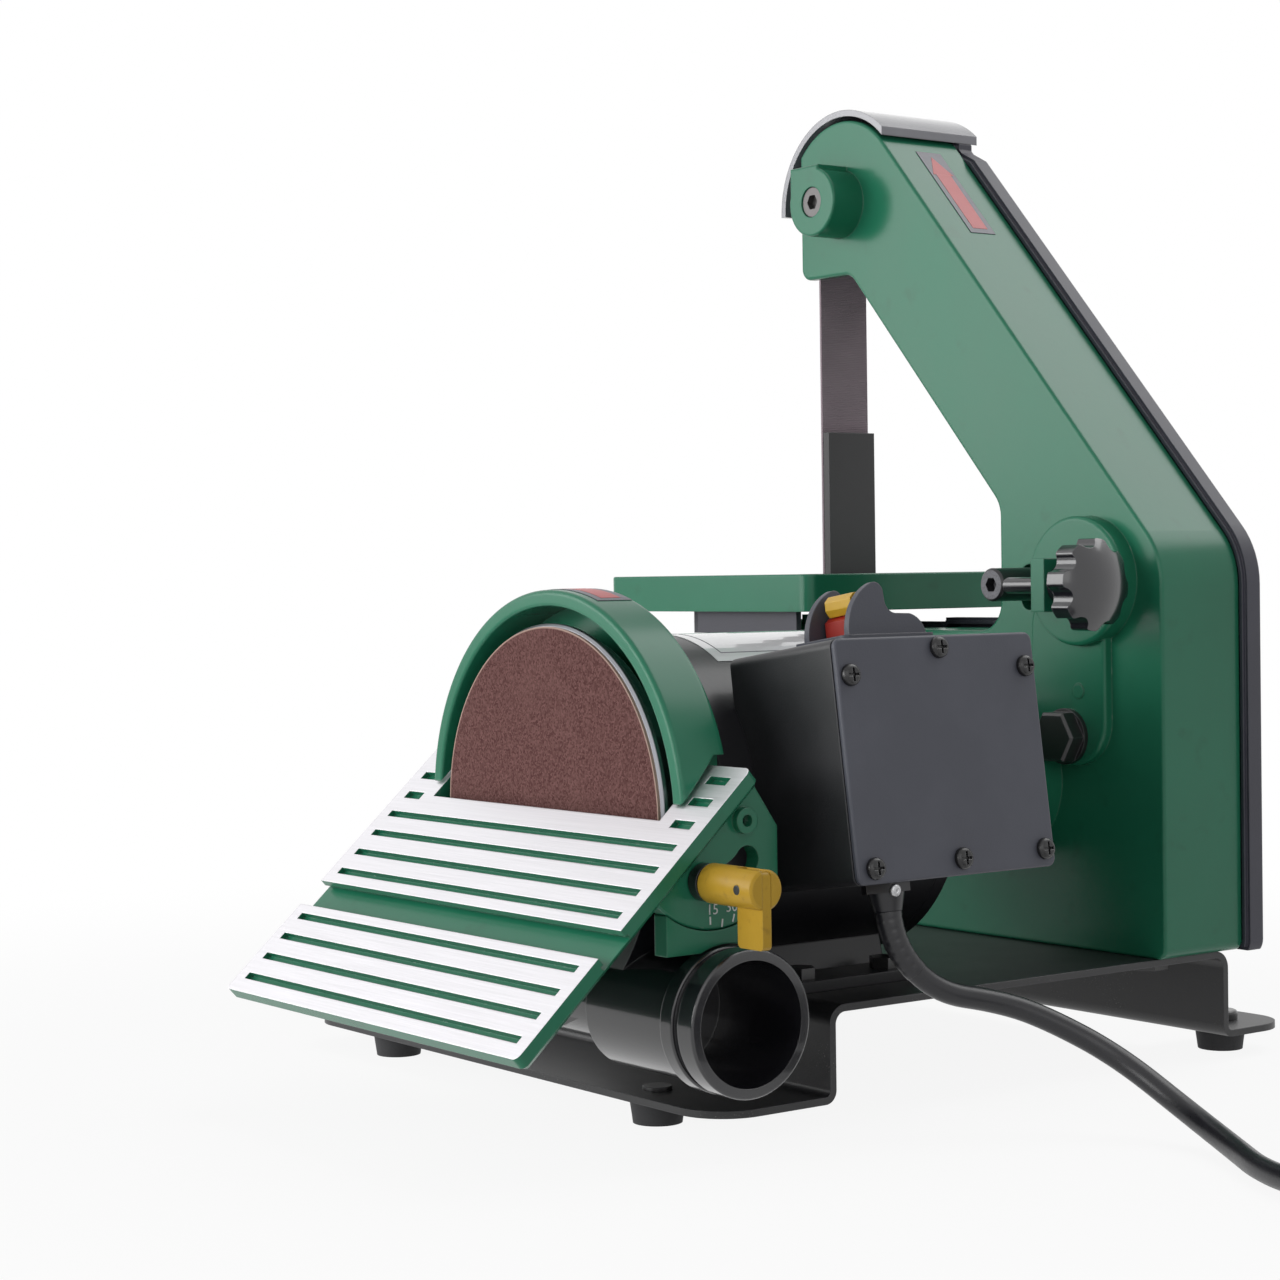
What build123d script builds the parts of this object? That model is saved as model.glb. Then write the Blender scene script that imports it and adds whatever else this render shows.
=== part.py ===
from build123d import *
import os
from math import atan2, cos, degrees, hypot, pi, radians, sin, tan

# Driving dimensions in millimetres. +Z is up, +X runs along the motor shaft from the disc to the belt,
# +Y runs from the switch side to the working run of the belt. The origin lies on the bench, mid footprint.
disc_x = -112.34         # abrasive face of the disc
axis_y = -41.0           # motor shaft
shaft_height = 104.0     # motor shaft above the bench
disc_dia = 127.0
belt_width = 25.4
belt_gap = 0.3           # air between belt and wheels
belt_thick = 1.0
running_gap = 0.06       # radial clearance of turning fits

base_near = -78.0
base_far = 186.0
sheet = 2.5
base_left = 57.5
base_right = 251.0
flange_left = 9.0
ear_right = 287.0

motor_radius = 58.5
guard_screw_circle = motor_radius - 18.5
shaft_radius = 8.0
journal_radius = 7.0

table_tilt = 42.0        # tilt of the disc table as it stands
table_thick = 6.0
table_depth = 96.5
arm_gap = 4.5            # edge of the disc to the arms of its table
arm_width = 24.0
table_edge = (-3.6, 1.4)  # rear edge of the disc table: x, z
tilt_axis = (3.0, 0.0)   # centre of the quadrant trunnions: x, z
quadrant_radius = 32.0
lock_radius = 17.2

face_x = 213.0           # outer face of the belt housing
belt_inset = 13.8        # outer face of the housing to the near edge of the belt
cover_gap = 1.8          # far edge of the belt to the joint between housing and cover
cover_depth = 9.5
wall = 2.8
belt_x = face_x + belt_inset + belt_width / 2     # middle of the belt
seam_x = belt_x + belt_width / 2 + cover_gap
cover_x = seam_x + cover_depth
upper = (92.5, 231.0, 29.5)      # wheels as y, z, radius
idler = (97.0, 9.1, 25.0)
drive = (0.0, 0.0, 30.0)
tension = (-24.0, 74.0, 12.0)
arm_pivot = (-38.0, 17.0)
knob_at = (186.6, 73.7)   # axis of the star knob: x, z
knob_back = -67.0        # rear of its lobes
knob_radius = 16.6

rest_x = (170.0, 300.0)  # belt table
rest_y = (66.0, 201.5)
rest_top = 79.0
rest_axis = (125.5, 79.0)
rest_lock_radius = 28.0

port_at = (7.3, -60.8)   # dust port: x, z
port_mouth = -disc_dia / 2 - 36.5
port_bore = 20.0

box_lean = 8.0           # backward lean of the switch box
box_width = 87.0
box_height = 79.0
box_depth = 52.0
box_mid = 87.0

cord_dia = 7.6
coil_pitch = 8.2
coil_radius = 52.0
coil_lift = 1.6

os.makedirs("parts", exist_ok=True)


def side(x):
    """Plane facing +X at distance x from the abrasive face; local axes are Y and Z from the shaft."""
    return Plane(origin=(disc_x + x, axis_y, shaft_height), x_dir=(0, 1, 0), z_dir=(1, 0, 0))


def front(y):
    """Plane facing the switch side at distance y from the shaft; local axes are X and Z."""
    return Plane(origin=(disc_x, axis_y + y, shaft_height), x_dir=(1, 0, 0), z_dir=(0, -1, 0))


def level(z):
    """Plane facing up at height z from the shaft; local axes are X and Y."""
    return Plane(origin=(disc_x, axis_y, shaft_height + z), x_dir=(1, 0, 0), z_dir=(0, 0, 1))


def rod_x(x0, x1, at, radius, mode=Mode.ADD):
    """Round bar along X between x0 and x1 about (y, z)."""
    with BuildSketch(side(x0)) as disc:
        with Locations((at[0], at[1])):
            Circle(radius)
    extrude(disc.sketch, amount=x1 - x0, mode=mode)


def rod_y(y0, y1, at, radius, mode=Mode.ADD):
    """Round bar along Y from y0 towards the switch side at y1 about (x, z)."""
    with BuildSketch(front(y0)) as disc:
        with Locations((at[0], at[1])):
            Circle(radius)
    extrude(disc.sketch, amount=y0 - y1, mode=mode)


def rod_z(z0, z1, at, radius, mode=Mode.ADD):
    """Round bar along Z between z0 and z1 at each (x, y)."""
    with BuildSketch(level(z0)) as disc:
        with Locations(*at):
            Circle(radius)
    extrude(disc.sketch, amount=z1 - z0, mode=mode)


def block(x, y, z, mode=Mode.ADD):
    """Rectangular block between the given pairs of x, y and z."""
    with BuildSketch(level(z[0])) as foot:
        with Locations(((x[0] + x[1]) / 2, (y[0] + y[1]) / 2)):
            Rectangle(x[1] - x[0], y[1] - y[0])
    extrude(foot.sketch, amount=z[1] - z[0], mode=mode)


def hex_x(x0, x1, at, across, mode=Mode.ADD):
    """Hexagonal bar along X with the given width across flats."""
    with BuildSketch(side(x0)) as nut:
        with Locations((at[0], at[1])):
            RegularPolygon(across / 2, 6, major_radius=False)
    extrude(nut.sketch, amount=x1 - x0, mode=mode)


def hex_z(z0, z1, at, across, mode=Mode.ADD):
    """Hexagonal bar along Z at each (x, y) with the given width across flats."""
    with BuildSketch(level(z0)) as nut:
        with Locations(*at):
            RegularPolygon(across / 2, 6, major_radius=False)
    extrude(nut.sketch, amount=z1 - z0, mode=mode)


def nearest(sketch, *points):
    """Sketch corners closest to the given points."""
    return [sketch.vertices().sort_by_distance((p[0], p[1], 0))[0] for p in points]


def flats_x(node, x):
    """Flat faces of a node across X at distance x from the abrasive face."""
    return node.faces().filter_by(Axis.X).filter_by(lambda f: abs(f.center().X - disc_x - x) < 0.1)


def save(node, name):
    node.part.label = name
    export_step(node.part, "parts/" + name + ".step")


top_z = -63.0
flange_z = top_z - 30.0
bench_z = -shaft_height
feet_at = [(22.0, -30.0), (22.0, 138.0), (268.8, -58.0), (268.8, 166.0)]
motor_bolts_at = [(71.0, -46.0), (110.0, -46.0), (71.0, 46.0), (110.0, 46.0)]
housing_bolts_at = [(230.0, -58.0), (230.0, 60.0)]

# Base: one sheet bent to a hat section, with a full flange under the disc and two ears under the belt
with BuildPart() as base_plate:
    with BuildSketch(front(base_far)) as hat:
        with BuildLine():
            Polyline(
                (flange_left, flange_z - sheet),
                (base_left + sheet, flange_z - sheet),
                (base_left + sheet, top_z - sheet),
                (base_right - sheet, top_z - sheet),
                (base_right - sheet, flange_z - sheet),
                (ear_right, flange_z - sheet),
                (ear_right, flange_z),
                (base_right, flange_z),
                (base_right, top_z),
                (base_left, top_z),
                (base_left, flange_z),
                (flange_left, flange_z),
                close=True,
            )
        make_face()
        fillet(nearest(hat, (base_left, top_z), (base_right, top_z)), 6.5)
        fillet(nearest(hat, (base_left + sheet, top_z - sheet), (base_right - sheet, top_z - sheet)), 4.0)
        fillet(nearest(hat, (base_left, flange_z), (base_right, flange_z)), 2.0)
        outer_bends = [(base_left + sheet, flange_z - sheet), (base_right - sheet, flange_z - sheet)]
        fillet(nearest(hat, *outer_bends), 4.5)
    extrude(amount=base_far - base_near)
    between_ears = (base_near + 40, base_far - 40)
    block((base_right + 3, ear_right + 1), between_ears, (flange_z - 4, flange_z + 1), Mode.SUBTRACT)
    tips = base_plate.edges().filter_by(Axis.Z).filter_by(lambda e: abs(e.length - sheet) < 0.01)
    left_tips = tips.filter_by(lambda e: abs(e.center().X - disc_x - flange_left) < 0.1)
    right_tips = tips.filter_by(lambda e: abs(e.center().X - disc_x - ear_right) < 0.1)
    fillet(left_tips, 18)
    fillet(right_tips, 16)
    rod_z(flange_z - 5, flange_z + 1, feet_at, 3.2, Mode.SUBTRACT)
    rod_z(top_z - 5, top_z + 1, motor_bolts_at + housing_bolts_at, 3.2, Mode.SUBTRACT)
save(base_plate, "base_plate")

# Four tapered rubber feet below the flanges
with BuildPart() as rubber_feet:
    foot_height = flange_z - sheet - bench_z
    with Locations(level(bench_z)):
        with Locations(*feet_at):
            Cone(8.4, 9.6, foot_height, align=(Align.CENTER, Align.CENTER, Align.MIN))
    rod_z(bench_z + 2, flange_z, feet_at, 3.2, Mode.SUBTRACT)
save(rubber_feet, "rubber_feet")

# Pan-head bolts that hold the feet
with BuildPart() as foot_bolts:
    rod_z(flange_z, flange_z + 1.3, feet_at[:2], 5.0)
    rod_z(flange_z, flange_z + 3.6, feet_at[2:], 6.6)
    fillet(foot_bolts.faces().filter_by(Axis.Z).group_by(Axis.Z)[-1].edges(), 1.2)
    rod_z(bench_z + 2.5, flange_z, feet_at, 3.0)
save(foot_bolts, "foot_bolts")

# Cradle between motor and base
with BuildPart() as motor_foot:
    with BuildSketch(side(58)) as cradle:
        with BuildLine():
            Polyline((-54, top_z), (54, top_z), (54, top_z + 4), (34, top_z + 4), (30, -44), (-30, -44),
                     (-34, top_z + 4), (-54, top_z + 4), close=True)
        make_face()
    extrude(amount=62)
    rod_x(50, 130, (0, 0), motor_radius + 0.05, Mode.SUBTRACT)
    rod_z(top_z - 1, top_z + 6, motor_bolts_at, 3.2, Mode.SUBTRACT)
save(motor_foot, "motor_foot")

# Bolts through the base: four for the motor cradle, two up into the belt housing
with BuildPart() as base_bolts:
    rod_z(top_z - sheet - 6, top_z + 4, motor_bolts_at, 3.0)
    hex_z(top_z + 4, top_z + 8, motor_bolts_at, 10.0)
    hex_z(top_z - sheet - 5, top_z - sheet, motor_bolts_at, 10.0)
    rod_z(top_z - sheet, top_z + 12, housing_bolts_at, 3.0)
    hex_z(top_z - sheet - 4.5, top_z - sheet, housing_bolts_at, 13.0)
save(base_bolts, "base_bolts")

# Rolled motor casing
casing_x = (30.0, 130.0)
with BuildPart() as motor_casing:
    rod_x(casing_x[0], casing_x[1], (0, 0), motor_radius)
    rod_x(casing_x[0] - 1, casing_x[1] + 1, (0, 0), motor_radius - 4.5, Mode.SUBTRACT)
save(motor_casing, "motor_casing")

# End bell behind the disc guard, with its bearing seat
with BuildPart() as disc_end_bell:
    rod_x(21, casing_x[0], (0, 0), motor_radius)
    rod_x(casing_x[0], 34, (0, 0), motor_radius - 4.7)
    rod_x(27, 35, (0, 0), motor_radius - 9, Mode.SUBTRACT)
    rod_x(21, 38, (0, 0), 18)
    rod_x(26.5, 39, (0, 0), 13.05, Mode.SUBTRACT)
    rod_x(20, 40, (0, 0), 9, Mode.SUBTRACT)
    with Locations(side(20)):
        with PolarLocations(guard_screw_circle, 4, start_angle=45):
            Cylinder(2.1, 9, align=(Align.CENTER, Align.CENTER, Align.MIN), mode=Mode.SUBTRACT)
save(disc_end_bell, "disc_end_bell")

# End bell towards the belt housing, stepping down to the neck of the casting
with BuildPart() as belt_end_bell:
    with BuildSketch(front(0)) as half:
        with BuildLine():
            Polyline((126, motor_radius - 9.5), (126, motor_radius - 4.7),
                     (casing_x[1], motor_radius - 4.7),
                     (casing_x[1], motor_radius), (135.5, motor_radius), (138.5, motor_radius - 3),
                     (150, 31), (152, 31), (152, 9), (146, 9), (146, 13.05), (134, 13.05), (134, 18),
                     (138, 28), (132, motor_radius - 9.5), close=True)
        make_face()
    revolve(axis=Axis((disc_x, axis_y, shaft_height), (1, 0, 0)))
save(belt_end_bell, "belt_end_bell")

# Laminated stator ring
with BuildPart() as stator:
    rod_x(48, 112, (0, 0), motor_radius - 4.7)
    rod_x(47, 113, (0, 0), 34.0, Mode.SUBTRACT)
save(stator, "stator")

# Rotor on the shaft
with BuildPart() as rotor:
    rod_x(48, 112, (0, 0), 33.2)
    rod_x(47, 113, (0, 0), shaft_radius + 0.02, Mode.SUBTRACT)
save(rotor, "rotor")

# Motor shaft with thinner journals for the disc and the drive wheel
with BuildPart() as motor_shaft:
    rod_x(3, 24, (0, 0), journal_radius)
    rod_x(24, 150, (0, 0), shaft_radius)
    rod_x(150, seam_x + 2, (0, 0), journal_radius)
save(motor_shaft, "motor_shaft")

# Two ball bearings, drawn as plain rings
with BuildPart() as motor_bearings:
    rod_x(27, 37, (0, 0), 13.0)
    rod_x(135.5, 145.5, (0, 0), 13.0)
    rod_x(20, 150, (0, 0), shaft_radius + running_gap, Mode.SUBTRACT)
save(motor_bearings, "motor_bearings")

# Aluminium disc plate with its hub
plate_radius = disc_dia / 2
with BuildPart() as disc_plate:
    rod_x(1, 3.4, (0, 0), plate_radius)
    chamfer(disc_plate.edges().filter_by(GeomType.CIRCLE).group_by(Axis.X)[0], 0.9)
    rod_x(3.4, 9, (0, 0), plate_radius - 3)
    rod_x(9, 17.4, (0, 0), 15)
    rod_x(2.9, 18, (0, 0), journal_radius + 0.02, Mode.SUBTRACT)
save(disc_plate, "disc_plate")

# Abrasive paper on the plate
with BuildPart() as abrasive_disc:
    rod_x(0, 1, (0, 0), plate_radius - 1)
save(abrasive_disc, "abrasive_disc")

# Guard casting: half ring over the disc, back wall, and two side ears that carry the table brackets
guard_radius = disc_dia / 2 + 11.5
hood_bolt_y = disc_dia / 2 + 5.5
ear_z = (-39.0, -30.0)
with BuildPart() as disc_guard:
    with BuildSketch(side(18)) as back_wall:
        Circle(guard_radius)
        with Locations((0, -guard_radius)):
            Rectangle(200, 2 * guard_radius, mode=Mode.SUBTRACT)
        with Locations((0, -19)):
            Rectangle(disc_dia + 5, 40)
        with Locations((0, (ear_z[0] + ear_z[1]) / 2)):
            Rectangle(disc_dia + 49, ear_z[1] - ear_z[0])
        with Locations((0, -30)):
            Rectangle(80, 64)
        Circle(16.5, mode=Mode.SUBTRACT)
    extrude(amount=3)
    with BuildSketch(side(0.5)) as hoop:
        Circle(guard_radius)
        Circle(guard_radius - 5.5, mode=Mode.SUBTRACT)
        with Locations((0, -guard_radius)):
            Rectangle(200, 2 * guard_radius, mode=Mode.SUBTRACT)
    extrude(amount=20.5)
    rims = disc_guard.edges().filter_by(GeomType.CIRCLE)
    outer_rims = rims.filter_by(lambda e: abs(e.radius - guard_radius) < 0.1)
    inner_rims = rims.filter_by(lambda e: abs(e.radius - guard_radius + 5.5) < 0.1)
    fillet(outer_rims.group_by(Axis.X)[-1], 2.5)
    fillet(outer_rims.group_by(Axis.X)[0], 1.6)
    fillet(inner_rims.group_by(Axis.X)[0], 1.0)
    for near_y in (guard_radius + 21.0, -disc_dia / 2 - 3.0):
        with BuildSketch(front(near_y)) as swing:
            with BuildLine():
                Polyline((-5, -25), (-5, 0.9), (0.5, 6.4), (15.5, 21.4), (24, 21.4), (24, -25), close=True)
            make_face()
        extrude(amount=29.5, mode=Mode.SUBTRACT)
    with BuildSketch(side(5.5)) as skirt:
        Circle(disc_dia / 2 + 3.9)
        Circle(disc_dia / 2 + 1.7, mode=Mode.SUBTRACT)
        with Locations((0, 105)):
            Rectangle(200, 150, mode=Mode.SUBTRACT)
        with Locations((0, -91)):
            Rectangle(200, 150, mode=Mode.SUBTRACT)
    extrude(amount=13)
    with Locations(side(17)):
        with PolarLocations(guard_screw_circle, 4, start_angle=45):
            Cylinder(2.3, 6, align=(Align.CENTER, Align.CENTER, Align.MIN), mode=Mode.SUBTRACT)
    rod_x(17, 22, (hood_bolt_y, -34.5), 2.2, Mode.SUBTRACT)
    rod_x(17, 22, (-hood_bolt_y, -34.5), 2.2, Mode.SUBTRACT)
save(disc_guard, "disc_guard")

# Screws that hold the guard to the motor
with BuildPart() as guard_screws:
    with Locations(side(15.5)):
        with PolarLocations(guard_screw_circle, 4, start_angle=45):
            Cylinder(4.2, 2.5, align=(Align.CENTER, Align.CENTER, Align.MIN))
            Cylinder(2.0, 12.5, align=(Align.CENTER, Align.CENTER, Align.MIN))
            Box(1.2, 6, 2, align=(Align.CENTER, Align.CENTER, Align.CENTER), mode=Mode.SUBTRACT)
            Box(6, 1.2, 2, align=(Align.CENTER, Align.CENTER, Align.CENTER), mode=Mode.SUBTRACT)
save(guard_screws, "guard_screws")

# Hood under the disc with the round dust port at its side
hood_radius = disc_dia / 2 + 8.5
hood_top = -18.0
with BuildPart() as dust_hood:
    with BuildSketch(side(-9)) as shell:
        Circle(hood_radius)
        with Locations((0, hood_top + 100)):
            Rectangle(200, 200, mode=Mode.SUBTRACT)
    extrude(amount=27)
    for ear_y in (hood_bolt_y - 1, 1 - hood_bolt_y):
        block((8, 18), (ear_y - 7, ear_y + 7), (ear_z[0], ear_z[1] + 1))
    rod_y(-4, -44, (3, -61), 13)
    rod_y(-40, port_mouth + 14, port_at, 21.2)
    rod_y(port_mouth + 17, port_mouth + 10.5, port_at, 23.5)
    rod_y(port_mouth + 10.5, port_mouth + 8, port_at, 22.2)
    rod_y(port_mouth + 8, port_mouth, port_at, 23.5)
    lips = dust_hood.edges().filter_by(GeomType.CIRCLE).filter_by(lambda e: abs(e.radius - 23.5) < 0.01)
    fillet(lips, 0.8)
    with BuildSketch(side(-6)) as hollow:
        Circle(hood_radius - 3)
        with Locations((0, hood_top + 101)):
            Rectangle(200, 200, mode=Mode.SUBTRACT)
        with Locations((0, hood_top)):
            Rectangle(2 * hood_radius - 11, 6)
    extrude(amount=21, mode=Mode.SUBTRACT)
    rod_y(-58, port_mouth - 1, port_at, port_bore, Mode.SUBTRACT)
    rod_y(-15, -60, (3, -61), 10.5, Mode.SUBTRACT)
    rod_x(7, 19, (hood_bolt_y, -34.5), 2.2, Mode.SUBTRACT)
    rod_x(7, 19, (-hood_bolt_y, -34.5), 2.2, Mode.SUBTRACT)
    for screw_y in (28.3, -28.3):
        rod_x(14, 19, (screw_y, -28.3), 5.2, Mode.SUBTRACT)
save(dust_hood, "dust_hood")

# Bolts that hold the hood to the guard ears
with BuildPart() as hood_bolts:
    for bolt_y in (hood_bolt_y, -hood_bolt_y):
        hex_x(4, 8, (bolt_y, -34.5), 8.0)
        rod_x(8, 21, (bolt_y, -34.5), 2.0)
save(hood_bolts, "hood_bolts")

# Disc table: slotted plate with two arms that reach back past the guard
tilt = radians(table_tilt)
table_top = Plane(
    origin=(disc_x + table_edge[0], axis_y, shaft_height + table_edge[1]),
    x_dir=(-cos(tilt), 0, -sin(tilt)),
    z_dir=(-sin(tilt), 0, cos(tilt)),
)
table_section = Plane(origin=table_top.origin, x_dir=table_top.x_dir, z_dir=(0, -1, 0))
slot_starts = [8.8, 18.3, 27.9, 37.4, 59.6, 69.1, 78.6, 88.1]
table_half = disc_dia / 2 + arm_gap + arm_width
table_width = 2 * table_half
with BuildPart() as disc_table:
    with BuildSketch(table_top) as plan:
        with Locations((table_depth / 2, 0)):
            Rectangle(table_depth, table_width)
        with Locations((-12.4, table_half - arm_width / 2), (-12.4, arm_width / 2 - table_half)):
            Rectangle(25.2, arm_width)
        fillet(nearest(plan, (table_depth, table_half), (table_depth, -table_half)), 2.4)
        fillet(nearest(plan, (-25, table_half), (-25, -table_half)), 3)
    extrude(amount=-table_thick)
    low_edges = disc_table.faces().sort_by(lambda f: f.center().dot(table_top.z_dir))[0].edges()
    front_edges = [e for e in low_edges if (e.center() - table_top.origin).dot(table_top.x_dir) > table_depth - 3]
    side_edges = [e for e in low_edges if abs((e.center() - table_top.origin).dot(table_top.y_dir)) > table_half - 2]
    chamfer(set(front_edges + side_edges), 1.7)
    with BuildSketch(table_top) as slots:
        with Locations(*[(u + 1.4, 0) for u in slot_starts]):
            Rectangle(2.8, table_width - 12)
        for arm_v in (table_half - 11.5, -table_half + 11.5):
            with Locations((-18.7, arm_v), (-9.2, arm_v), (0.6, arm_v)):
                Rectangle(3.4, 10.5)
    extrude(amount=-2.0, mode=Mode.SUBTRACT)
    with BuildSketch(table_section) as mitre:
        with BuildLine():
            Polyline((44.5, -1), (44.5, 2.6), (43.3, 2.6), (43.3, 4.2), (57.1, 4.2), (57.1, 2.6),
                     (55.9, 2.6), (55.9, -1), close=True)
        make_face()
    extrude(amount=table_half + 5, both=True, mode=Mode.SUBTRACT)
    with BuildSketch(table_section) as bevel:
        with BuildLine():
            Polyline((-0.2, 0.8), (4.6, table_thick + 0.1), (-0.2, table_thick + 0.1), close=True)
        make_face()
    extrude(amount=table_half - arm_width - 0.2, both=True, mode=Mode.SUBTRACT)
    for screw_u in (-14.0, 18.0):
        for screw_v in (table_half - 7.5, -table_half + 7.5):
            with BuildSketch(table_top.offset(-table_thick)) as tapped:
                with Locations((screw_u, screw_v)):
                    Circle(1.6)
            extrude(amount=2.8, mode=Mode.SUBTRACT)
save(disc_table, "disc_table")

# Quadrant trunnions below the table arms, each with an arc slot for the lock stud
under = (table_edge[0] + table_thick * sin(tilt), table_edge[1] - table_thick * cos(tilt))


def below(u, depth):
    """Point of the table section at distance u down the slope and the given depth under its lower face."""
    return (under[0] - u * cos(tilt) + depth * sin(tilt), under[1] - u * sin(tilt) - depth * cos(tilt))


lock_arc = CenterArc(tilt_axis, lock_radius, 250, 70)
trunnion_y = (table_half - 10.5, table_half - 4.5)
with BuildPart() as trunnions:
    for start_y in (trunnion_y[1], -trunnion_y[0]):
        with BuildSketch(front(start_y)) as quadrant:
            with Locations(tilt_axis):
                Circle(quadrant_radius)
            with BuildLine():
                Polyline(below(-90, 0), below(90, 0), below(90, -90), below(-90, -90), close=True)
            make_face(mode=Mode.SUBTRACT)
            with BuildLine():
                Polyline(below(-24.5, 0), (28.5, -1), (28.5, -60), (60, -60), (60, 60), below(-24.5, -40),
                         close=True)
            make_face(mode=Mode.SUBTRACT)
            SlotArc(lock_arc, 9.2, mode=Mode.SUBTRACT)
        extrude(amount=trunnion_y[1] - trunnion_y[0])
    rims = trunnions.edges().filter_by(GeomType.CIRCLE)
    rims = rims.filter_by(lambda e: abs(e.radius - quadrant_radius) < 0.1)
    chamfer(rims.filter_by(lambda e: abs(abs(e.arc_center.Y - axis_y) - trunnion_y[1]) < 0.1), 0.6)
    rod_y(-trunnion_y[1], -trunnion_y[1] - 2.6, (14.5, 1.6), 4.2)
    rod_y(-trunnion_y[1] + 3, -trunnion_y[1] - 3, (14.5, 1.6), 1.9, Mode.SUBTRACT)
    for screw_u in (-14.0, 18.0):
        for screw_v in (table_half - 7.5, -table_half + 7.5):
            with BuildSketch(table_top.offset(-table_thick + 1)) as tapped:
                with Locations((screw_u, screw_v)):
                    Circle(1.6)
            extrude(amount=-9, mode=Mode.SUBTRACT)
save(trunnions, "trunnions")

# Studs between table and trunnions
with BuildPart() as trunnion_screws:
    for screw_u in (-14.0, 18.0):
        for screw_v in (table_half - 7.5, -table_half + 7.5):
            with BuildSketch(table_top.offset(-table_thick + 2.6)) as stud:
                with Locations((screw_u, screw_v)):
                    Circle(1.5)
            extrude(amount=-10.2)
save(trunnion_screws, "trunnion_screws")

# Fixed brackets: arc seat below each quadrant and an upright for the lock stud
lock_angle = radians(254.0)
lock_at = (tilt_axis[0] + lock_radius * cos(lock_angle), tilt_axis[1] + lock_radius * sin(lock_angle))
with BuildPart() as trunnion_brackets:
    for seat_y, upright_y in ((trunnion_y[1], trunnion_y[0] - 0.3),
                              (-trunnion_y[0] + 0.3, 5.3 - trunnion_y[0])):
        with BuildSketch(front(seat_y)) as seat:
            with Locations((1, -30.5)):
                Rectangle(34, 17)
            with Locations(tilt_axis):
                Circle(quadrant_radius + 0.3, mode=Mode.SUBTRACT)
            with Locations(port_at):
                Circle(24.0, mode=Mode.SUBTRACT)
        extrude(amount=6.3)
        with BuildSketch(front(upright_y)) as upright:
            with Locations((4.5, -35)):
                Rectangle(27, 8)
            with Locations((lock_at[0], (lock_at[1] - 33) / 2)):
                Rectangle(13, lock_at[1] + 33)
            with Locations(lock_at):
                Circle(6.5)
            with Locations(port_at):
                Circle(24.0, mode=Mode.SUBTRACT)
        extrude(amount=5.0)
    rod_y(table_half + 3, -table_half - 3, lock_at, 4.05, Mode.SUBTRACT)
save(trunnion_brackets, "trunnion_brackets")

# Fixed studs: right lock stud, left bolt, and the stud of the belt table
rest_lock = (rest_axis[0], rest_axis[1] - rest_lock_radius)
stud_end = -trunnion_y[1] - 17.5
with BuildPart() as lock_studs:
    rod_y(5.1 - trunnion_y[0], stud_end, lock_at, 4.0)
    rod_y(-trunnion_y[1] - 0.5, stud_end + 13.1, lock_at, 6.0)
    rod_y(trunnion_y[1] + 4, trunnion_y[0] - 5.1, lock_at, 4.0)
    rod_y(trunnion_y[1] + 4.5, trunnion_y[1] + 0.5, lock_at, 7.0)
    rod_x(188, 216.5, rest_lock, 4.0)
save(lock_studs, "lock_studs")

# Lock lever: round hub with a slotted end
with BuildPart() as lever_hub:
    rod_y(stud_end + 12.7, stud_end - 14.5, lock_at, 6.3)
    chamfer(lever_hub.edges().filter_by(GeomType.CIRCLE), 0.8)
    rod_y(stud_end + 17, stud_end - 1, lock_at, 4.0 + running_gap, Mode.SUBTRACT)
    blade_slot = (lock_at[0] - 1.7, lock_at[0] + 1.7)
    block(blade_slot, (stud_end - 15, stud_end - 2), (lock_at[1] - 8, lock_at[1] + 8), Mode.SUBTRACT)
    rod_x(-12, 12, (stud_end - 7.5, lock_at[1]), 1.5, Mode.SUBTRACT)
save(lever_hub, "lever_hub")

# Flat blade that hangs in the slot of the hub
blade_drop = 35.0
with BuildPart() as lever_blade:
    with BuildSketch(side(lock_at[0] - 1.65)) as bar:
        with Locations((stud_end - 8.2, (lock_at[1] + 5.5 - blade_drop) / 2)):
            RectangleRounded(12.4, lock_at[1] + 5.5 + blade_drop, 1.6)
    extrude(amount=3.3)
    rod_x(-12, 12, (stud_end - 7.5, lock_at[1]), 1.5, Mode.SUBTRACT)
save(lever_blade, "lever_blade")

# Cross pin through hub and blade
with BuildPart() as lever_pin:
    rod_x(lock_at[0] - 6.3, lock_at[0] + 6.3, (stud_end - 7.5, lock_at[1]), 1.45)
save(lever_pin, "lever_pin")

# Outline shared by the belt housing and its cover, as y and z
with BuildSketch() as outline:
    with BuildLine():
        Polyline((118.4, 253.5), (118.4, 202), (87.7, 202), (1.2, 104.6), (1.2, 56), (110, 56), (132, 36),
                 (132, -50), (120, top_z), (-82, top_z), (-82, 84.4), (66.7, 253.6))
        ThreePointArc((66.7, 253.6), (92.5, 265.3), (118.4, 253.5))
    make_face()
    fillet(nearest(outline, (118.4, 202)), 5)
    fillet(nearest(outline, (87.7, 202)), 8)
    fillet(nearest(outline, (1.2, 104.6), (1.2, 56)), 12)
    fillet(nearest(outline, (-82, 84.4)), 30)
    fillet(nearest(outline, (-82, top_z)), 4)
    fillet(nearest(outline, (132, -50), (120, top_z), (132, 36)), 5)

lug_x = knob_at[0] - 8.0
lug_y = (-57.1, -50.4)
posts_at = [(-73.0, -53.0), (-73.0, 58.0), (44.0, 170.0), (120.0, -50.0)]

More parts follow.
